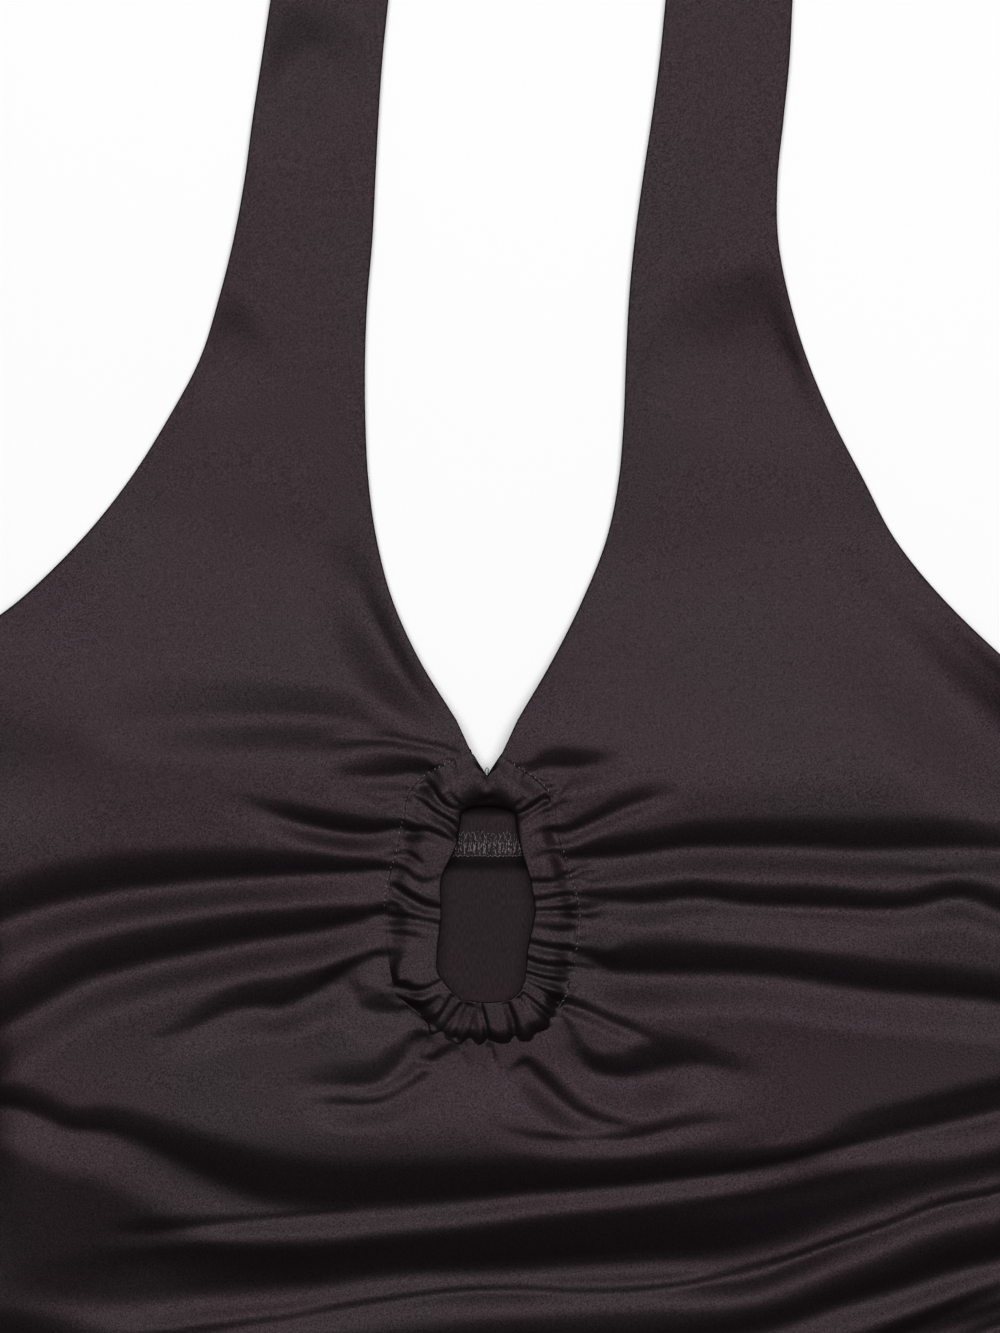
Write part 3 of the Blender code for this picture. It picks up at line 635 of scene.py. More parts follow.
sideSeam = [
    Side(29, -172, 178.5), Side(-30, -168.5, 175), Side(-90, -163, 170), Side(-150, -158, 165),
    Side(-205, -156, 162), Side(-250, -160, 166), Side(-285, -166, 172),
]
frontLeg = [
    Side(-285, -166, 172), Side(-312, -137, 142), Side(-345, -102, 106), Side(-378, -67, 70),
    Side(-405, -42, 43), Side(-420, -33, 33), Side(-432, -31, 31),
]
backLeg = [
    Side(-285, -166, 172), Side(-318, -152, 157), Side(-350, -125, 129), Side(-376, -92, 95),
    Side(-394, -60, 62), Side(-404, -41, 41),
]
# Level on the side seam and leg edge for each place on the centre line below.
Level = namedtuple("Level", "centreY leftY rightY")
levels = [
    Level(-80, -94, -91), Level(-124, -120, -112), Level(-170, -163, -150),
    Level(-230, -218, -206), Level(-285, -266, -258), Level(-330, -300, -298),
    Level(-370, -350, -350), Level(-405, -402, -402), Level(-432, -432, -432),
]
loop = dict(
    strapY=231,                # where the straps end and the arch behind the neck begins
    outer=(13.25, 78.25, 91),  # middle x, half width and height of the arch's two edges
    inner=(12.0, 42.0, 55),
    lean=0.1,
    rows=56,                   # in half of the arch
    seamX=17.5, seamLean=0.135,  # the centre back seam at the inner edge, and its slant
    grooveFrom=50, grooveDepth=0.45, grooveWidth=1.2,
)
body = dict(
    columns=86,                # across half of the front
    rim=(0, 0.3, 0.8, 1.7),    # the closest columns, in from each edge
    closer=0.45,               # how much closer the columns get towards the keyhole
    strapStep=2.3,             # row spacing on the straps, on the body and below the waist
    bodyStep=0.84,
    lowerStep=1.9,
    shoulderY=52, shoulderRows=14,  # rows between two lines of the table below the straps
    necklineRows=12, seamRows=7,    # down to the casing, and between two places of its seam
    waistY=-170,
    torsoBelow=(40, 10),       # between these heights a strap becomes the body
    strapHeight=2.6,           # top of the cloth on the table, and how much higher on the back
    overBack=2.4,
    ontoBack=(-6, 74),         # it rises between these heights above the back's top edge
    pillow=3.9,                # how much the middle is fuller than the sides
    leftRise=24,               # and how far in from each side seam it gets so
    rightRise=15,
    fullness=0.6,              # how much the body rises under the keyhole, and falls to the waist
    fullBelow=(-78, -112),
    thinning=5.0,
    thinBelow=((-104, -182), (-108, -176)),
    calmEdge=14,               # the wide waves fade out so near an edge
    foldEdge=9,                # and the folds keep a share of their depth there
    edgeShare=0.4,
    tabHeight=6.4,
    tabBelow=(-372, -402),
    clearance=0.3,             # least height over the table, and how much more on the back
    backClearance=1.5,
    edgeTurn=7.0,              # cloth turned in at every free edge
    edgeDrop=1.5,              # and how far below the top it lies, but over the table
    edgeFloor=0.25,
    edgeRound=(0.14, 0.5),     # depth and width of the rounding at a free edge and at the seam
    seamRound=(0.04, 0.6),
)
# The oval round the keyhole in which the front comes level with the casing's seam.
oval = dict(x=-1, y=-40, across=29, along=42, blend=0.9, above=0.1, bottom=(-108, -88))
# The back's top edge: a shallow curve that rises from its middle to both side seams.
backEdge = dict(y=-5, left=-172.0, leftRise=34, right=178.0, rightRise=19)


def tableX(rows, y, sign):
    # x of an edge table at a height, along a smooth curve through its rows
    line = curveThrough([(row.y, row.left if sign < 0 else row.right) for row in rows], 12)
    return np.interp(-np.asarray(y, float), -line[:, 0], line[:, 1])


def sideX(y, sign):
    return float(tableX(sideSeam, y, sign))


def backTop(x):
    x = np.asarray(x, float)
    left = backEdge["y"] + backEdge["leftRise"] * (x / backEdge["left"]) ** 2
    right = backEdge["y"] + backEdge["rightRise"] * (x / backEdge["right"]) ** 2
    return np.where(x < 0, left, right)


def frontHeight(points, rim):
    # top of the front's cloth: over the table, then the hem, then the back
    x, y = points[:, 0], points[:, 1]
    covered = 1 - smoothstep(*body["ontoBack"], y - backTop(x))
    height = body["strapHeight"] + covered * body["overBack"]
    fromLeft, fromRight = x - tableX(sideSeam, y, -1), tableX(sideSeam, y, 1) - x
    inwards = smoothstep(0, body["leftRise"], fromLeft) * smoothstep(0, body["rightRise"], fromRight)
    full = inwards * covered
    height += body["pillow"] * full
    # the body is fullest under the keyhole and thins from there down to the waist
    height += full * body["fullness"] * smoothstep(*body["fullBelow"], y)
    height -= full * body["thinning"] * sum(smoothstep(*span, y) for span in body["thinBelow"]) / 2
    offRing = np.hypot((x - oval["x"]) / oval["across"], (y - oval["y"]) / oval["along"]) - 1
    nearRing = (1 - smoothstep(0, oval["blend"], offRing)) * covered
    level = casing["seamHeight"] + oval["above"]
    height += nearRing * (level - height) * smoothstep(*oval["bottom"], y)
    height += swellHeight(points, swells) * smoothstep(0, body["calmEdge"], rim)
    # the seam at the back of the neck lies in a shallow groove
    seamX = loop["seamX"] + loop["seamLean"] * (y - loop["strapY"] - loop["inner"][2])
    groove = np.exp(-((x - seamX) / loop["grooveWidth"]) ** 2)
    height -= loop["grooveDepth"] * groove * (y > loop["strapY"] + loop["grooveFrom"])
    folds = bodyFolds + sideGathers() + seamPuckers()
    kept = body["edgeShare"] + (1 - body["edgeShare"]) * smoothstep(0, body["foldEdge"], rim)
    height -= foldDepth(points, folds) * kept
    nearTab = smoothstep(*body["tabBelow"], y)
    height = height * (1 - nearTab) + body["tabHeight"] * nearTab
    # a fold that would cut into what lies below gets a soft floor instead
    floor = body["clearance"] + covered * body["backClearance"]
    return np.where(height < floor + 1, floor + np.exp(np.clip(height - floor - 1, -30, 0)), height)


def archEdges(sign):
    # half of the arch behind the neck, from its centre back seam to the strap's end
    edges = []
    for middleX, halfWidth, top in (loop["outer"], loop["inner"]):
        edge = []
        for k in range(loop["rows"]):
            angle = math.pi / 2 - sign * math.pi / 2 * k / loop["rows"]
            up = top * math.sin(angle)
            edge.append((middleX + halfWidth * math.cos(angle) + loop["lean"] * up, loop["strapY"] + up))
        edges.append(edge)
    return edges


def rowsOfHalf(sign):
    # the line ends of one half from the centre back seam to the end of the tab
    lines = leftLines if sign < 0 else rightLines
    seam = leftSeam if sign < 0 else rightSeam
    archOuter, archInner = archEdges(sign)
    counts = [max(2, round(abs(a.outY - b.outY) / body["strapStep"])) if a.outY > body["shoulderY"]
              else body["shoulderRows"] for a, b in zip(lines, lines[1:])]
    straps = curveThrough(lines, counts)[:-1]
    firstSeam = (sideX(seam[0].sideY, sign), seam[0].sideY, seam[0].x, seam[0].y, 4)
    neck = np.linspace(lines[-1], firstSeam, body["necklineRows"])[:-1]
    sewn = curveThrough([(s.x, s.y, s.sideY) for s in seam], body["seamRows"])[:-1]
    sewnRows = np.column_stack([tableX(sideSeam, sewn[:, 2], sign), sewn[:, 2], sewn[:, 0],
                                sewn[:, 1], np.linspace(4, 2, len(sewn))])
    steps = [max(3, round((a.centreY - b.centreY)
                          / (body["bodyStep"] if a.centreY > body["waistY"] else body["lowerStep"])))
             for a, b in zip(levels, levels[1:])]
    low = curveThrough([(p.centreY, p.leftY if sign < 0 else p.rightY) for p in levels], steps)
    low[-1] = (levels[-1].centreY, levels[-1].leftY)
    edge = np.where(low[:, 1] > sideSeam[-1].y, tableX(sideSeam, low[:, 1], sign),
                    tableX(frontLeg, low[:, 1], sign))
    lowRows = np.column_stack([edge, low[:, 1], np.zeros(len(low)), low[:, 0],
                               np.linspace(2, 0, len(low))])
    both = np.vstack([straps, neck, sewnRows, lowRows])
    outer = np.vstack([archOuter, both[:, 0:2]])
    inner = np.vstack([archInner, both[:, 2:4]])
    sag = np.concatenate([np.zeros(loop["rows"]), both[:, 4]])
    # rows up to the V, then those up to the keyhole's lower end
    neckRows = loop["rows"] + len(straps) + len(neck)
    return outer, inner, sag, neckRows, neckRows + len(sewnRows)


def columnShares(length, torso):
    # close columns at both edges, then even on a strap and closer inwards on the body
    rim = np.array(body["rim"])
    count = body["columns"] - 2 * len(rim)
    even = (np.arange(count) + 1) / (count + 1)
    graded = 1 - (1 - even) ** (1 + body["closer"] * torso)
    start, stop = rim[-1] / length, 1 - rim[-1] / length
    return np.concatenate([rim / length, start + (stop - start) * graded, 1 - rim[::-1] / length])


def turnedEdge(points, faces, path, indices, inward, low, seamed):
    # cloth rolled over an edge and turned in under the piece; at a seam it only dips.
    # Each pair is how far in from the edge, and what share of the height is left there.
    turn = body["edgeTurn"]
    under = ((0.9, 0.0), (0.5 * turn, 0.0), (turn, 0.02))
    rolled = ((-0.16, 0.55), (-0.12, 0.12), *under)
    dipped = ((-0.4, 0.92), (-0.6, 0.3), *under)
    last = indices
    for free, sewn in zip(rolled, dipped):
        first = len(points)
        for k, (x, y, z) in enumerate(path):
            off, share = sewn if seamed[k] else free
            points.append((x + off * inward[k][0], y + off * inward[k][1],
                           low[k] + (z - low[k]) * share))
        for k in range(len(path) - 1):
            faces.append((last[k], last[k + 1], first + k + 1, first + k))
        last = list(range(first, first + len(path)))


def buildFront():
    points, faces = [], []
    strips = []
    for sign in (-1, 1):
        outer, inner, sag, neckRows, closed = rowsOfHalf(sign)
        first = len(points)
        flat, rim, toSeam = [], [], []
        for r in range(len(outer)):
            run = inner[r] - outer[r]
            length = float(np.hypot(*run))
            torso = float(smoothstep(*body["torsoBelow"], outer[r][1]))
            t = columnShares(length, torso)
            line = outer[r] + t[:, None] * run
            line[:, 1] -= 4 * sag[r] * t * (1 - t)
            flat.append(line)
            toInner = (1 - t) * length
            rim.append(np.minimum(t * length, toInner if r < neckRows else farOff))
            toSeam.append(toInner if neckRows <= r < closed else np.full(len(t), farOff))
        flat, rim, toSeam = np.vstack(flat), np.concatenate(rim), np.concatenate(toSeam)
        height = frontHeight(flat, rim)
        low = np.maximum(body["edgeFloor"], height - body["edgeDrop"])
        (deep, wide), (shallow, narrow) = body["edgeRound"], body["seamRound"]
        height -= deep * np.exp(-rim / wide) + shallow * np.exp(-toSeam / narrow)
        grid = np.column_stack([flat, height])
        points.extend(grid.tolist())
        columns = body["columns"]
        faces += gridFaces(len(outer), columns, first)
        edges = ((0, range(len(outer)), -sign), (columns - 1, range(closed + 1), sign))
        for column, span, way in edges:
            indices = [first + r * columns + column for r in span]
            path = grid[[i - first for i in indices]]
            inward = edgeWays(path[:, :2]) * way
            lowest = low[[i - first for i in indices]]
            seamed = [column > 0 and r >= neckRows for r in span]
            strips.append((path, indices, inward, lowest, seamed))
    for strip in strips:
        turnedEdge(points, faces, *strip)
    piece = addMesh("frontCloth", points, faces, satin)
    weld(piece)
    return piece


# The casing round the keyhole: its seam's and its opening's edge at each station.
Station = namedtuple("Station", "outX outY inX inY")
ring = [
    Station(0, -1.7, 0, -11), Station(-2.4, 2.0, -1.8, -11), Station(-4.7, 5.0, -3.4, -11.1),
    Station(-8.5, 3.6, -5.0, -11.4), Station(-12, 1.6, -6.4, -12), Station(-18, -1.6, -7.4, -13),
    Station(-22, -5.2, -7.8, -15.2), Station(-24, -9.8, -8.3, -18.6), Station(-24.7, -15, -9.0, -22),
    Station(-26, -20.5, -10.4, -26), Station(-27, -26, -12.6, -30), Station(-28.9, -31.5, -13.8, -34.5),
    Station(-30.1, -38, -13.6, -40), Station(-30.1, -46, -13.8, -46.5), Station(-29.5, -54, -14.6, -53),
    Station(-28.6, -62, -14.8, -59.6), Station(-27.6, -67, -13, -63),
    Station(-25, -70.8, -11.4, -65), Station(-20.4, -73.6, -9.8, -66.8),
    Station(-17.8, -76.4, -8.8, -67.8), Station(-17.2, -79.2, -7.8, -68.6),
    Station(-13.6, -80, -6.4, -68.9), Station(-8.6, -82.2, -4.6, -69), Station(-5.6, -80.8, -3.2, -69.1),
    Station(-2.4, -82.4, -1.6, -69.4), Station(0.6, -81.1, 0.2, -69.4), Station(4.4, -82.0, 3, -69.2),
    Station(9, -81.4, 5, -69), Station(13, -81.2, 6.6, -68.6), Station(14.6, -79, 7.6, -68.2),
    Station(18.2, -77.6, 8.8, -67.2), Station(20.8, -74.8, 10, -65.8), Station(22.2, -71.2, 10.8, -64),
    Station(23.2, -68.6, 11.3, -62.6), Station(24.8, -65, 11.6, -60), Station(25.4, -61, 11.8, -57),
    Station(26, -56, 12.2, -52.4),
    Station(26.9, -49, 13.6, -46.4), Station(27.2, -42.5, 14.2, -41.6), Station(26, -36, 13.4, -36),
    Station(24, -29.7, 12.2, -30.4), Station(22.3, -23.8, 10.6, -25.4), Station(20.6, -17.3, 9.4, -20.4),
    Station(20, -11.2, 8.6, -16), Station(18.3, -7, 8.2, -13.6), Station(14.2, -2.8, 7.4, -12.2),
    Station(10, -0.2, 5.8, -11.6), Station(6.6, 2.2, 4.4, -11.3), Station(4.2, 4.2, 3, -11.1),
    Station(2.0, 1.4, 1.6, -11), Station(0, -1.7, 0, -11),
]
# The drawn-in gathers, each between the seam and the opening.
casingFolds = [
    Fold([(-.3, -2.4, .7), (-.1, -5.4, .7), (0, -7.6, .6)], (.3, .22, .1), .8),
    Fold([(-3.4, -9.4, .9), (-1, -9, 1.4), (1, -8.5, 1.2), (3, -8.5, .8)], (.1, .4, .4, .1), 1),
    Fold([(-21.5, -3.8, .8), (-18.4, -4.2, 1.5), (-16.4, -5.8, 1.5), (-14.3, -8.8, 1.5),
          (-12, -10.8, 1.4), (-7.6, -12.4, 1.2)], (.3, .6, .7, .7, .7, .6), 1.5),
    Fold([(-11, -6.8, .6), (-9.8, -8.5, 1), (-7.6, -10.8, .9)], (.2, .5, .5), 1.1),
    Fold([(-22.6, -7.6, 1.1), (-19, -10, 1.3), (-16, -12.4, 1.5), (-13, -14.2, 1.6),
          (-10, -16.4, 1.5), (-8, -19.4, 1.2)], (.45, .6, .7, .7, .6), 1.6),
    Fold([(-22.4, -9.4, .6), (-18, -13.6, .7), (-13.6, -15.8, .6)], (.2, .25, .1), .9),
    Fold([(-26.4, -18, 1.8), (-22, -18.4, 1.7), (-18, -18.2, 1.5), (-14, -19.6, 1.3),
          (-9.6, -21.6, 1)], (.5, .65, .65, .6, .5), 2),
    Fold([(-26.4, -23.8, 1.1), (-23.5, -25, 1.4), (-21, -26.8, 1.3), (-18.6, -29, .9)],
         (.5, .6, .5, .1), 1.6),
    Fold([(-27.4, -28.8, 1), (-24, -30.4, 1.1), (-22, -32.4, 1.4), (-19.6, -33.6, 1.4),
          (-17, -33.2, 1), (-13.6, -31.8, .8)], (.3, .35, .4, .4, .3, .15), 1.8),
    Fold([(-30.2, -34, 1.4), (-27, -35.6, 1.8), (-23, -38.2, 1.9), (-19, -40.4, 1.8),
          (-14, -41.4, 1.3)], (.5, .65, .7, .7, .6), 1.9),
    Fold([(-30.4, -38.6, 1), (-28, -40.2, 1.3), (-24, -41.2, .9)], (.5, .6, .1), 1.2),
    Fold([(-30.6, -44.2, 1.6), (-27, -44.3, 1.7), (-24, -44.3, 1.5), (-19, -45, 1.3),
          (-13.6, -46.2, 1.1)], (.5, .65, .65, .6, .6), 1.5),
    Fold([(-29.8, -49, 1.2), (-25, -49.3, 1.3), (-21, -50, 1.2), (-18, -50.2, .8)],
         (.45, .5, .4, 0), 1.6),
    Fold([(-28.6, -63.6, 1.6), (-25, -65, 2.2), (-22, -66, 1.8), (-18, -65.2, 1), (-13.4, -62.8, .7)],
         (.5, .7, .7, .5, .5), 1.6),
    Fold([(-28, -68.4, 1.6), (-24, -70.2, 2), (-20, -71, 1.8), (-17, -70, 1.5), (-14.4, -67.8, .8)],
         (.6, .75, .7, .6, .3), 1.8),
    Fold([(-16, -76.5, 1.6), (-13.5, -73, 1.4), (-10.4, -67.6, 1)], (.6, .6, .5), 1.6),
    Fold([(-14.8, -80, 2), (-11.5, -75.4, 1.8), (-9, -71.8, 1.3), (-7, -69.4, .9)],
         (.7, .7, .6, .5), 1.7),
    Fold([(-9.8, -80, 1.6), (-7.5, -74.6, 1.5), (-5.4, -70.2, 1)], (.6, .6, .5), 1.6),
    Fold([(-5.4, -81, 1.8), (-4.2, -75, 1.6), (-2.8, -71.4, 1)], (.5, .5, .2), 1.8),
    Fold([(.4, -82, 1), (-.3, -76, .9), (-1.9, -69.6, .7)], (.8, .8, .7), 1),
    Fold([(8.4, -82, 1.8), (8.2, -76, 1.6), (6.2, -69.6, 1)], (.7, .7, .6), 1.4),
    Fold([(12.8, -72.8, 1), (11, -69.6, 1), (9.4, -68, .7)], (0, .5, .5), 1),
    Fold([(21, -76, 1.8), (18, -73, 1.8), (15, -70.2, 1.3), (11, -66.8, .9)],
         (.8, .8, .65, .6), 1.3),
    Fold([(22.6, -73.6, 1.2), (18, -69.6, 1), (14, -66.6, .8), (11, -64.6, .7)],
         (.7, .6, .5, .5), 1),
    Fold([(24.8, -69.6, 2.6), (20.6, -69, 2.4), (17, -66.2, 1.2), (11.4, -63.2, .8)],
         (.7, .8, .6, .5), 1.3),
    Fold([(25.8, -63.8, 1.4), (21, -63.2, 1.5), (17, -62.4, 1.2), (12, -60.8, 1)], .65, 1.5),
    Fold([(26, -59, 1.5), (20, -58.8, 1.5), (15, -57.8, 1.3), (11.8, -56.4, 1)], .65, 1.5),
    Fold([(27, -53.8, 1.5), (21, -53.6, 1.6), (16, -52.6, 1.3), (12, -51.4, 1.1)], .65, 1.5),
    Fold([(27.4, -48, 1.6), (21, -48.1, 1.7), (16.5, -47.2, 1.4), (13, -46.6, 1)],
         (.45, .45, .3, .2), 1.8),
    Fold([(28, -42.4, 1.6), (21, -41.9, 1.4), (14, -42, 1.1)], (.65, .65, .6), 1.4),
    Fold([(27, -37, 1.3), (22, -37.8, 1.3), (18, -38.6, 1.2), (13, -39.2, 1)], (.6, .65, .6), 1.4),
    Fold([(25.4, -31.4, 1.1), (22, -32.9, 1.2), (18, -33.6, 1.2), (12, -33.4, 1.1)],
         (.5, .6, .6, .6), 1.6),
    Fold([(22.6, -24.4, 1.2), (18, -25, 1.2), (13.4, -26.6, 1)], (.4, .4, .1), 1.8),
    Fold([(21, -17.6, 1.4), (17, -18.4, 1.3), (12.4, -20, 1)], (.35, .3, .05), 1.8),
    Fold([(21, -12, .8), (17, -12.7, 1), (14, -14.3, 1.1), (10.6, -16.8, .8)],
         (.4, .45, .5, .1), 1.6),
    Fold([(20.4, -8.2, 1.5), (17, -8.8, 1.5), (14.5, -10.4, 1.5), (11.5, -12.2, 1.4),
          (8, -13.6, 1)], (.6, .7, .7, .7, .6), 1.6),
    Fold([(11.2, -8.6, .8), (9.4, -10.2, 1), (7.8, -11.8, .7)], (.2, .5, .3), 1),
]
casing = dict(
    around=8, across=32, under=12,  # points from one station to the next, over it and below it
    closer=1.15,          # how much closer the points get towards the opening
    seamHeight=8.0,       # level of its seam
    puff=0.9,             # how far it rises above that at its sides, and at its bottom
    bottomPuff=1.6,
    bottom=(-58, -76),    # where its sides pass into its bottom
    leftPuff=0.25,        # how much more it rises low down on the left, and where that is
    leftMiddle=-62, leftReach=7,
    steep=0.5,            # the share of its width over which it rises, and how much less that
    steepLeft=0.3,        # is low down on the left, at the V, at the bottom, and where it
    steepNotch=0.42,      # puffs out there
    steepBottom=0.06,
    steepPuff=0.1,
    notchReach=4.2, notchAbove=-3,
    levelOver=0.45,       # the share of its width in which it leaves the front's level
    gather=0.8,           # how deep its folds are, and how slowly they rise again
    gatherSpread=2.0,
    # how far out and how far down the lines of its flap under the front lie, and how far in
    # and how far down those of its turned edge at the V
    flap=((0, 0.04), (0.55, 0.16), (1.2, 0.9)),
    neckEdge=((0.5, 1.3), (-0.05, 0.35)),
    neckHalf=4.5,
    floor=4.4,            # level of its lower layer
    drawnIn=0.3,          # how far its rim is pulled in where a fold meets it
)
# How it rolls over into the opening, sooner and deeper at the top of the keyhole.
collar = dict(above=(-24, -8), width=13, start=0.95, sooner=0.25, soonest=0.2,
              drop=0.25, deeper=0.8, deepest=1.4)
# Where the casing's lower end puffs out between its gathers.
Puff = namedtuple("Puff", "x width")
puffs = [Puff(-22, 3.0), Puff(-12.5, 3.0), Puff(-5.4, 1.8), Puff(3.8, 3.6), Puff(16.6, 3.0)]


def puffShare(x):
    return np.clip(sum(np.exp(-((x - puff.x) / puff.width) ** 2) for puff in puffs), 0, 1)


def casingHeight(flat, shares, outer):
    # height of the casing's top at points that lie a share of the way over it
    x, y = outer[:, 0], outer[:, 1]
    low = smoothstep(*casing["bottom"], y)
    left = np.exp(-((y - casing["leftMiddle"]) / casing["leftReach"]) ** 2) * (x < 0)
    notch = np.exp(-(x / casing["notchReach"]) ** 2) * (y > casing["notchAbove"])
    steep = (casing["steep"] - casing["steepLeft"] * left - casing["steepNotch"] * notch
             - low * (casing["steepBottom"] + casing["steepPuff"] * puffShare(x)))
    part = np.clip(shares / steep, 0, 1)
    sharp = np.maximum(low, left)
    rise = (1 - sharp) * smoothstep(0, 1, part) + sharp * np.sin(part * math.pi / 2)
    top = casing["seamHeight"] + rise * (casing["puff"] * (1 - low) + casing["bottomPuff"] * low
                                         + casing["leftPuff"] * left)
    near = smoothstep(*collar["above"], y)
    middle = near * np.exp(-(x / collar["width"]) ** 2)
    start = collar["start"] - collar["sooner"] * near - collar["soonest"] * middle
    over = np.clip((shares - start) / (1 - start), 0, 1)
    top -= ((collar["drop"] + collar["deeper"] * near) * (1 - np.sqrt(1 - over ** 2))
            + collar["deepest"] * middle * over ** 2)
    depth = foldDepth(flat, casingFolds, casing["gather"], casing["gatherSpread"])
    return top - depth * smoothstep(-0.05, 0.1, shares)


def buildCasing():
    stations = curveThrough(ring, casing["around"])
    outer, inner = stations[:, :2], stations[:, 2:]
    shares = 1 - (1 - np.linspace(0, 1, casing["across"])) ** casing["closer"]
    flat = (outer[:, None, :] + shares[None, :, None] * (inner - outer)[:, None, :]).reshape(-1, 2)
    height = casingHeight(flat, np.tile(shares, len(outer)), np.repeat(outer, len(shares), axis=0))
    height = height.reshape(len(outer), -1)
    # along the seam the casing lies level with the front, folds and all
    way = inner - outer
    way /= np.linalg.norm(way, axis=1)[:, None]
    seamLevels = [frontHeight(outer - way * off, np.full(len(outer), farOff)) - below
                  for off, below in casing["flap"]]
    leaving = 1 - smoothstep(0, casing["levelOver"], shares)
    height += ((seamLevels[0] - height[:, 0]) * leaving[:, None]).T
    full = casingHeight(inner, np.ones(len(inner)) * 0.8, outer)
    pull = casing["seamHeight"] + casing["puff"] - full
    rows = []
    for k in range(len(outer)):
        width = np.linalg.norm(inner[k] - outer[k])
        across = (inner[k] - outer[k]) / width
        width -= casing["drawnIn"] * np.clip(pull[k], 0, 2)
        if abs(outer[k][0]) < casing["neckHalf"] and outer[k][1] > casing["notchAbove"]:
            row = [(*(outer[k] + across * off), height[k, 0] - below)
                   for off, below in casing["neckEdge"]]
        else:
            row = [(*(outer[k] - across * casing["flap"][j][0]), seamLevels[j][k]) for j in (2, 1)]
        row += [(*(outer[k] + across * width * s), height[k, j]) for j, s in enumerate(shares)]
        for j in range(1, casing["under"] + 1):
            turn = j / casing["under"]
            z = casing["floor"] + (height[k, -1] - casing["floor"]) * (1 - turn) ** 2.2
            row.append((*(outer[k] + across * width * (1 - 0.5 * turn ** 1.5)), z))
        row.append((*outer[k], casing["floor"] + 0.3))
        rows.append(row)
    points = [p for row in rows for p in row]
    piece = addMesh("keyholeCasing", points, gridFaces(len(rows), len(rows[0])), satin)
    weld(piece)
    return piece


backPart = dict(
    crotch=-404.0,
    columns=180, hemRows=30,
    rows=((0.6, 90, 70), (91.5, 400, 150)),  # from and to how far down, and how many
    levelFrom=60,          # from here on the rows level out and get closer to the crotch
    levelShare=0.98,
    hem=21.0,              # depth of the hem, and the heights of its two layers
    upper=2.3, lower=0.35,
    wave=0.1, waveWidth=6.0,
    lift=1.6,              # how far the hem's top rises under the casing, and in what reach
    liftAbove=(-14, -7), liftWidth=14,
    edgeLift=0.8,          # how far the lower layer rises beside the raw edge
    edgeReach=(-0.4, 4.5),
    deepest=1.6,           # limit of its folds
)
backFolds = [
    Fold([(-163, -92, 8), (-80, -100, 8), (4, -108, 8), (90, -104, 8), (170, -96, 8)],
         (.05, .12, .05), 12),
    Fold([(-158, -128, 8), (-80, -134, 8), (4, -140, 8), (90, -133, 8), (165, -124, 8)],
         (.05, .13, .05), 12),
    Fold([(-157, -160, 9), (-80, -163, 9), (4, -170, 9), (90, -166, 9), (164, -152, 9)],
         (.05, .13, .05), 13),
    Fold([(-156, -190, 8), (-80, -195, 8), (4, -199, 8), (90, -197, 8), (162, -184, 8)],
         (.05, .12, .05), 12),
    Fold([(-157, -220, 9), (-80, -228, 9), (4, -232, 9), (90, -226, 9), (163, -214, 9)],
         (.05, .13, .05), 13),
    Fold([(-160, -252, 8), (-80, -262, 8), (4, -268, 8), (90, -260, 8), (166, -246, 8)],
         (.05, .11, .05), 12),
]


def buildBack():
    left, right = backEdge["left"], backEdge["right"]
    shares = 0.5 - 0.5 * np.cos(np.linspace(0, math.pi, backPart["columns"]))
    top = backTop(left + shares * (right - left))
    upper, lower, crotch = backPart["upper"], backPart["lower"], backPart["crotch"]
    # the turned hem, from its raw edge up over the fold to the layer below
    hem = [(down, upper) for down in np.linspace(backPart["hem"], 0.7, backPart["hemRows"])]
    hem += [(0.2, upper - 0.4), (0, 1.3), (0.2, 0.7)]
    lines = []
    for down, z in hem:
        start, stop = tableX(sideSeam, top - down, -1), tableX(sideSeam, top - down, 1)
        lines.append(np.column_stack([start + shares * (stop - start), top - down,
                                      np.full(len(top), z)]))
    downs = np.concatenate([np.linspace(*span) for span in backPart["rows"]])
    for down in downs:
        blend = smoothstep(backPart["levelFrom"], downs[-1], down)
        y = (1 - blend) * (top - down) + blend * (crotch + (downs[-1] - down) * backPart["levelShare"])
        y = np.maximum(y, crotch)
        start, stop = (np.where(y > sideSeam[-1].y, tableX(sideSeam, y, sign),
                                tableX(backLeg, y, sign)) for sign in (-1, 1))
        lines.append(np.column_stack([start + shares * (stop - start), y, np.full(len(y), lower)]))
    points = np.vstack(lines)
    under = np.arange(len(points)) >= len(hem) * len(shares)
    points[under, 2] += np.minimum(foldDepth(points[under, :2], backFolds), backPart["deepest"])
    x, y = points[:, 0], points[:, 1]
    near, far = (backPart["hem"] + reach for reach in backPart["edgeReach"])
    beside = 1 - smoothstep(near, far, backTop(x) - y)
    points[under, 2] += backPart["edgeLift"] * beside[under]
    lifted = smoothstep(*backPart["liftAbove"], y) * np.exp(-(x / backPart["liftWidth"]) ** 2)
    waves = backPart["wave"] * np.sin(x / backPart["waveWidth"])
    points[~under, 2] += (waves + backPart["lift"] * lifted)[~under]
    return addMesh("backCloth", points, gridFaces(len(lines), len(shares)), inside)


# The raw edge of the back's hem is overlocked.
overlock = dict(
    left=-165.0, right=170,
    pitch=1.5,
    uneven=(0.9, 1.1),
    loops=13.2,            # depths below the back's top edge: loose loops, needle line, raw edge
    needle=16.3,
    edge=20.7,
    height=2.5,
    slants=3,              # looper threads to one stitch
    radius=0.15,
    loopRadius=0.1,
    seed=2,
)


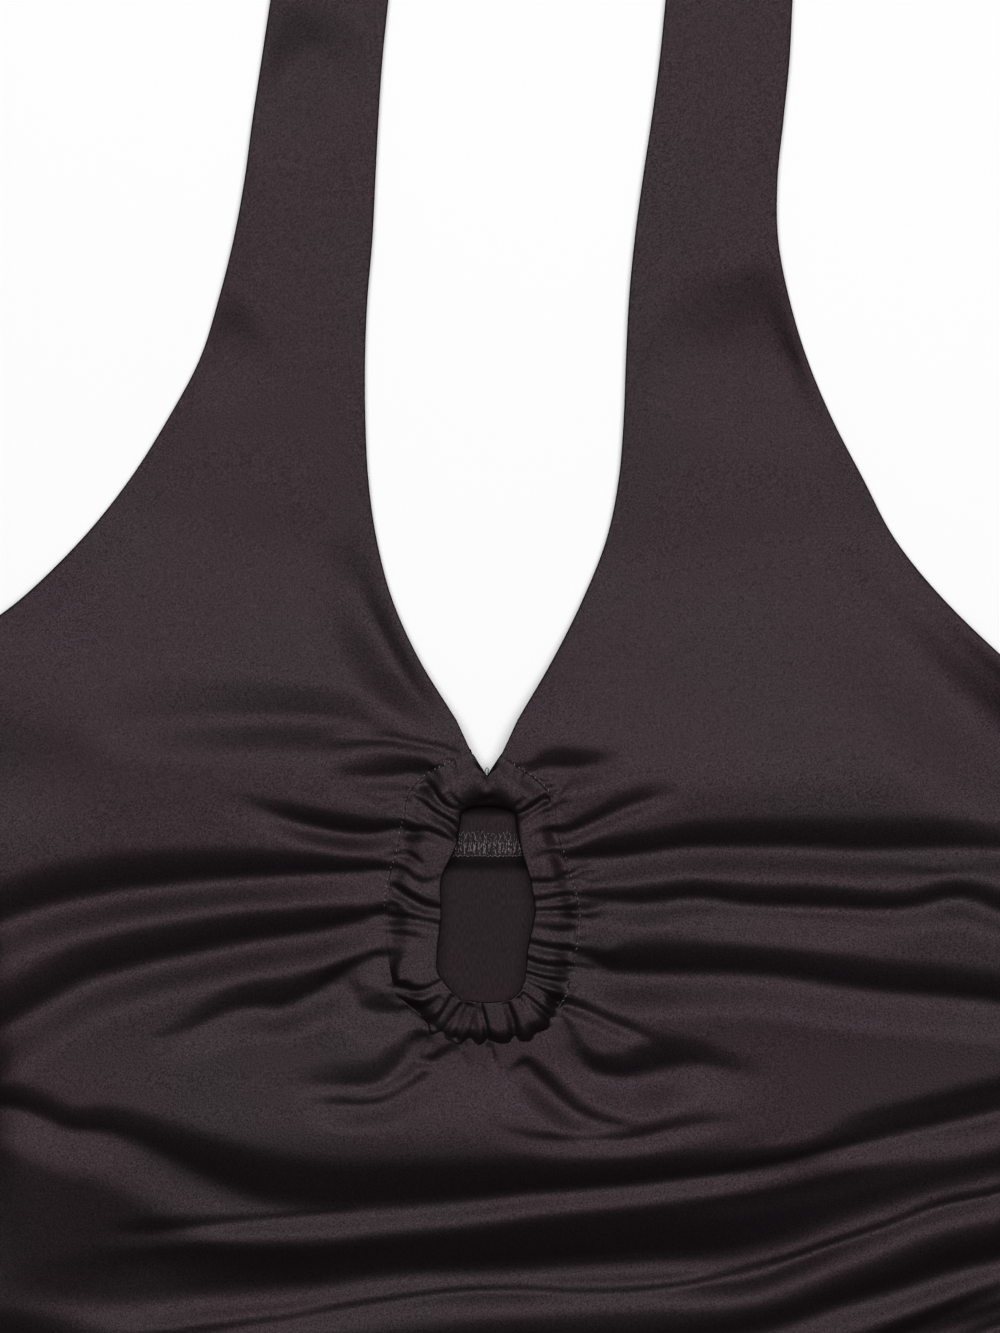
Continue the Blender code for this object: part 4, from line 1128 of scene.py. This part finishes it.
def buildOverlock():
    chance = np.random.default_rng(overlock["seed"])
    p, z, slants = overlock["pitch"], overlock["height"], overlock["slants"]
    strong, loose = [], []
    x = overlock["left"]
    while x < overlock["right"]:
        loops, needle, edge = (float(backTop(x)) - overlock[k] for k in ("loops", "needle", "edge"))
        # looper threads slant across the edge, close together and unevenly
        for k in range(slants):
            start = x + (k + chance.uniform(-.3, .3)) * p / slants
            slant = (0.9 if (k % 2) else -0.7) * chance.uniform(.3, 1.2)
            high, low = needle + chance.uniform(-.7, .3), edge + chance.uniform(.1, 1.3)
            lift = chance.uniform(.15, .45)
            strong.append([(start, high, z + .05), (start + .3 * slant, high - 1.1, z + lift),
                           (start + .75 * slant, low + .8, z + lift), (start + slant, low, z)])
        # thinner, looser loops above the needle line
        a, b, c = chance.uniform(-.5, .5, 3)
        loose.append([(x, needle - .2, z), (x - .15 * p + .3 * a, needle + 1.2, z + .2),
                      (x + .3 * p, loops - .5 + b, z + .24), (x + .7 * p, needle + 1.2 + a, z + .2),
                      (x + .5 * p + .5 * c, needle - .1, z)])
        # the chain along the raw edge
        loose.append([(x - .1, edge - .1 + .2 * a, z - .2), (x + .3 * p, edge - .3 + .4 * b, z + .1),
                      (x + .6 * p, edge + .1, z), (x + p + .1, edge - .2 + .3 * c, z - .1)])
        x += p * chance.uniform(*overlock["uneven"])
    points, faces = joined(tubes([curveThrough(path, 3) for path in strong], overlock["radius"], 4),
                           tubes([curveThrough(path, 3) for path in loose], overlock["loopRadius"], 4))
    return addMesh("overlockThread", points, faces, threadLook)


stitch = dict(
    pitch=1.75, uneven=(0.85, 1.2),
    length=0.7,
    out=0.4,               # how far outside the seam a stitch starts, and how far it slants in
    slant=0.5,
    above=0.06,            # over the front's cloth, and how much deeper some are pulled
    sunk=0.26,
    radius=0.12,
    loopRadius=0.14,
    seed=5,
    # how far along the left and the right seam, as shares of it, the stitches show
    leftRuns=((0.04, 0.5),),
    rightRuns=((0.04, 0.16), (0.3, 0.8)),
)


def buildStitches():
    # short threads along the casing's seam, and the thread loop at the point of the V
    chance = np.random.default_rng(stitch["seed"])
    paths = []
    for seam, runs, sign in ((leftSeam, stitch["leftRuns"], -1), (rightSeam, stitch["rightRuns"], 1)):
        line = curveThrough([(s.x, s.y) for s in seam], 10)
        length = lengthAlong(line)
        ways = edgeWays(line) * sign
        places, lifts = [], []
        for begin, end in runs:
            start = begin * length[-1]
            while start < end * length[-1]:
                sunk = chance.uniform(0, stitch["sunk"])
                for share, lift in ((0, -0.3), (0.3, 0.1), (0.7, 0.1), (1, -0.3)):
                    at = start + share * stitch["length"]
                    off = stitch["out"] - stitch["slant"] * share
                    places.append(placeAlong(line, length, at) + placeAlong(ways, length, at) * off)
                    lifts.append(lift - sunk)
                start += stitch["pitch"] * chance.uniform(*stitch["uneven"])
        flat = np.array(places)
        height = frontHeight(flat, np.full(len(flat), farOff)) + stitch["above"] + np.array(lifts)
        paths += np.split(np.column_stack([flat, height]), len(flat) // 4)
    z = casing["seamHeight"] - 0.2
    loopPath = curveThrough([(-.5, -1.8, z - .4), (-.55, -.5, z), (-.2, .6, z + .2), (.3, .5, z + .2),
                             (.35, -.4, z), (.2, -1.9, z - .4)], 5)
    points, faces = joined(tubes(paths, stitch["radius"], 6), tubes([loopPath], stitch["loopRadius"], 6))
    return addMesh("seamStitches", points, faces, threadLook)


# The gusset from the back's seam to its fold and back up under the tab.
Strip = namedtuple("Strip", "y halfWidth z")
gussetStrips = [
    Strip(-404.3, 41, 0.3), Strip(-412, 36, 0.3), Strip(-425, 33, 0.3), Strip(-440, 31, 0.3),
    Strip(-447.6, 30.5, 0.35), Strip(-449.2, 30.3, 0.8), Strip(-449.8, 30.2, 1.5),
    Strip(-449.2, 30.3, 2.2), Strip(-447.6, 30.5, 2.6), Strip(-440, 30.8, 2.7),
    Strip(-430, 31, 2.7), Strip(-418, 31, 2.7), Strip(-410, 31, 2.7),
]
gussetPart = dict(columns=41, steps=5, wave=0.1, waveAbove=2)


def buildGusset():
    # its upper layer is faintly wavy
    strips = curveThrough(gussetStrips, gussetPart["steps"])
    points = []
    for y, half, z in strips:
        for share in np.linspace(-1, 1, gussetPart["columns"]):
            wave = gussetPart["wave"] * math.sin(9 * share + y / 6) * (z > gussetPart["waveAbove"])
            points.append((share * half, y, z + wave))
    return addMesh("gussetCloth", points, gridFaces(len(strips), gussetPart["columns"]), satin)


# The outline of each half of a popper, from its middle out and round.
Round = namedtuple("Round", "radius z")
poppers = dict(
    places=(-18.0, 0.0, 18.0), y=-422,
    sides=40,
    tip=0.02,              # smallest radius
    cap=[Round(0, 8.0), Round(2.0, 7.95), Round(3.4, 7.75), Round(4.3, 7.4), Round(4.75, 7.0),
         Round(4.75, 6.7), Round(4.4, 6.6)],
    socket=[Round(0, 4.4), Round(2.2, 4.4), Round(2.4, 4.1), Round(3.6, 4.0), Round(4.0, 3.7),
            Round(4.0, 3.4), Round(0, 3.3)],
)


def buildPoppers():
    made = []
    sides = poppers["sides"]
    for number, x in enumerate(poppers["places"], start=1):
        for kind in ("cap", "socket"):
            points = []
            for ring in poppers[kind]:
                radius = max(ring.radius, poppers["tip"])
                for s in range(sides):
                    angle = 2 * math.pi * s / sides
                    points.append((x + radius * math.cos(angle),
                                   poppers["y"] + radius * math.sin(angle), ring.z))
            faces = gridFaces(len(poppers[kind]), sides, closed=True)
            popper = addMesh(f"popper{kind.capitalize()}{number}", points, faces, popperLook)
            made.append((number, kind, popper))
    return made


front = buildFront()
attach(front, "root")
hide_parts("front")
print("scene: front built,", len(front.data.polygons), "faces")

casingPiece = buildCasing()
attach(casingPiece, "root")
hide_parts("keyhole_casing")
print("scene: casing built,", len(casingPiece.data.polygons), "faces")

back = buildBack()
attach(back, "root")
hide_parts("back")
threads = buildOverlock()
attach(threads, "root")
print("scene: back and overlock built,", len(back.data.polygons), len(threads.data.polygons))

stitches = buildStitches()
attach(stitches, "root")

gusset = buildGusset()
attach(gusset, "root")
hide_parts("gusset")
for number, kind, popper in buildPoppers():
    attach(popper, "root")
    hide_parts(f"popper_{kind}_{number}")
print("scene: gusset and poppers built")

# the triangles and the surface area, in square metres, of each piece as it is built here
for piece in (front, casingPiece, back, threads, stitches, gusset):
    print("scene:", piece.name, sum(len(f.vertices) - 2 for f in piece.data.polygons), "triangles,",
          round(sum(f.area for f in piece.data.polygons), 5), "square metres")

# The table, the light and the camera.
light = dict(
    sky=0.05,
    skyColour=(1, 0.99, 0.995),
    # each lamp's power, size and place, in watts and metres
    softbox=(306.0, (6.2, 3.4), (0.3, 1.38, 6.0)),
    strip=(150.0, (6.2, 1.3), (0.3, 1.0, 5.98)),
    floor=0.93,
    floorShine=0.1,
)
bpy.ops.mesh.primitive_plane_add(size=14, location=(0, 0, -0.0003))
floor = bpy.context.object
floor.name = "floor"
floorLook, floorShader = newMaterial("paleTable", (light["floor"],) * 3, 0.8)
floorShader.inputs["Specular IOR Level"].default_value = light["floorShine"]
floor.data.materials.append(floorLook)

world = bpy.data.worlds.new("softSky")
world.use_nodes = True
world.node_tree.nodes["Background"].inputs["Color"].default_value = (*light["skyColour"], 1)
world.node_tree.nodes["Background"].inputs["Strength"].default_value = light["sky"]
bpy.context.scene.world = world

for name in ("softbox", "strip"):
    lampData = bpy.data.lights.new(name, "AREA")
    lampData.shape = "RECTANGLE"
    lampData.energy, (lampData.size, lampData.size_y), place = light[name]
    lamp = bpy.data.objects.new(name, lampData)
    lamp.location = place
    bpy.context.scene.collection.objects.link(lamp)

# centre and height of the framed area in millimetres, and the camera's distance in metres
view = dict(centre=(3.9, 31.0), height=400.0, distance=3.0, sensor=36)
camData = bpy.data.cameras.new("camera")
camData.sensor_fit = "VERTICAL"
camData.sensor_height = view["sensor"]
camData.sensor_width = view["sensor"]
camData.lens = view["sensor"] * view["distance"] / (view["height"] * mm)
camera = bpy.data.objects.new("camera", camData)
x, y, z = toFrame([(*view["centre"], 0)])[0]
camera.location = (x, y, view["distance"])
bpy.context.scene.collection.objects.link(camera)
bpy.context.scene.camera = camera
bpy.context.scene.view_settings.view_transform = "Standard"
print("scene: floor, lamps and camera placed")
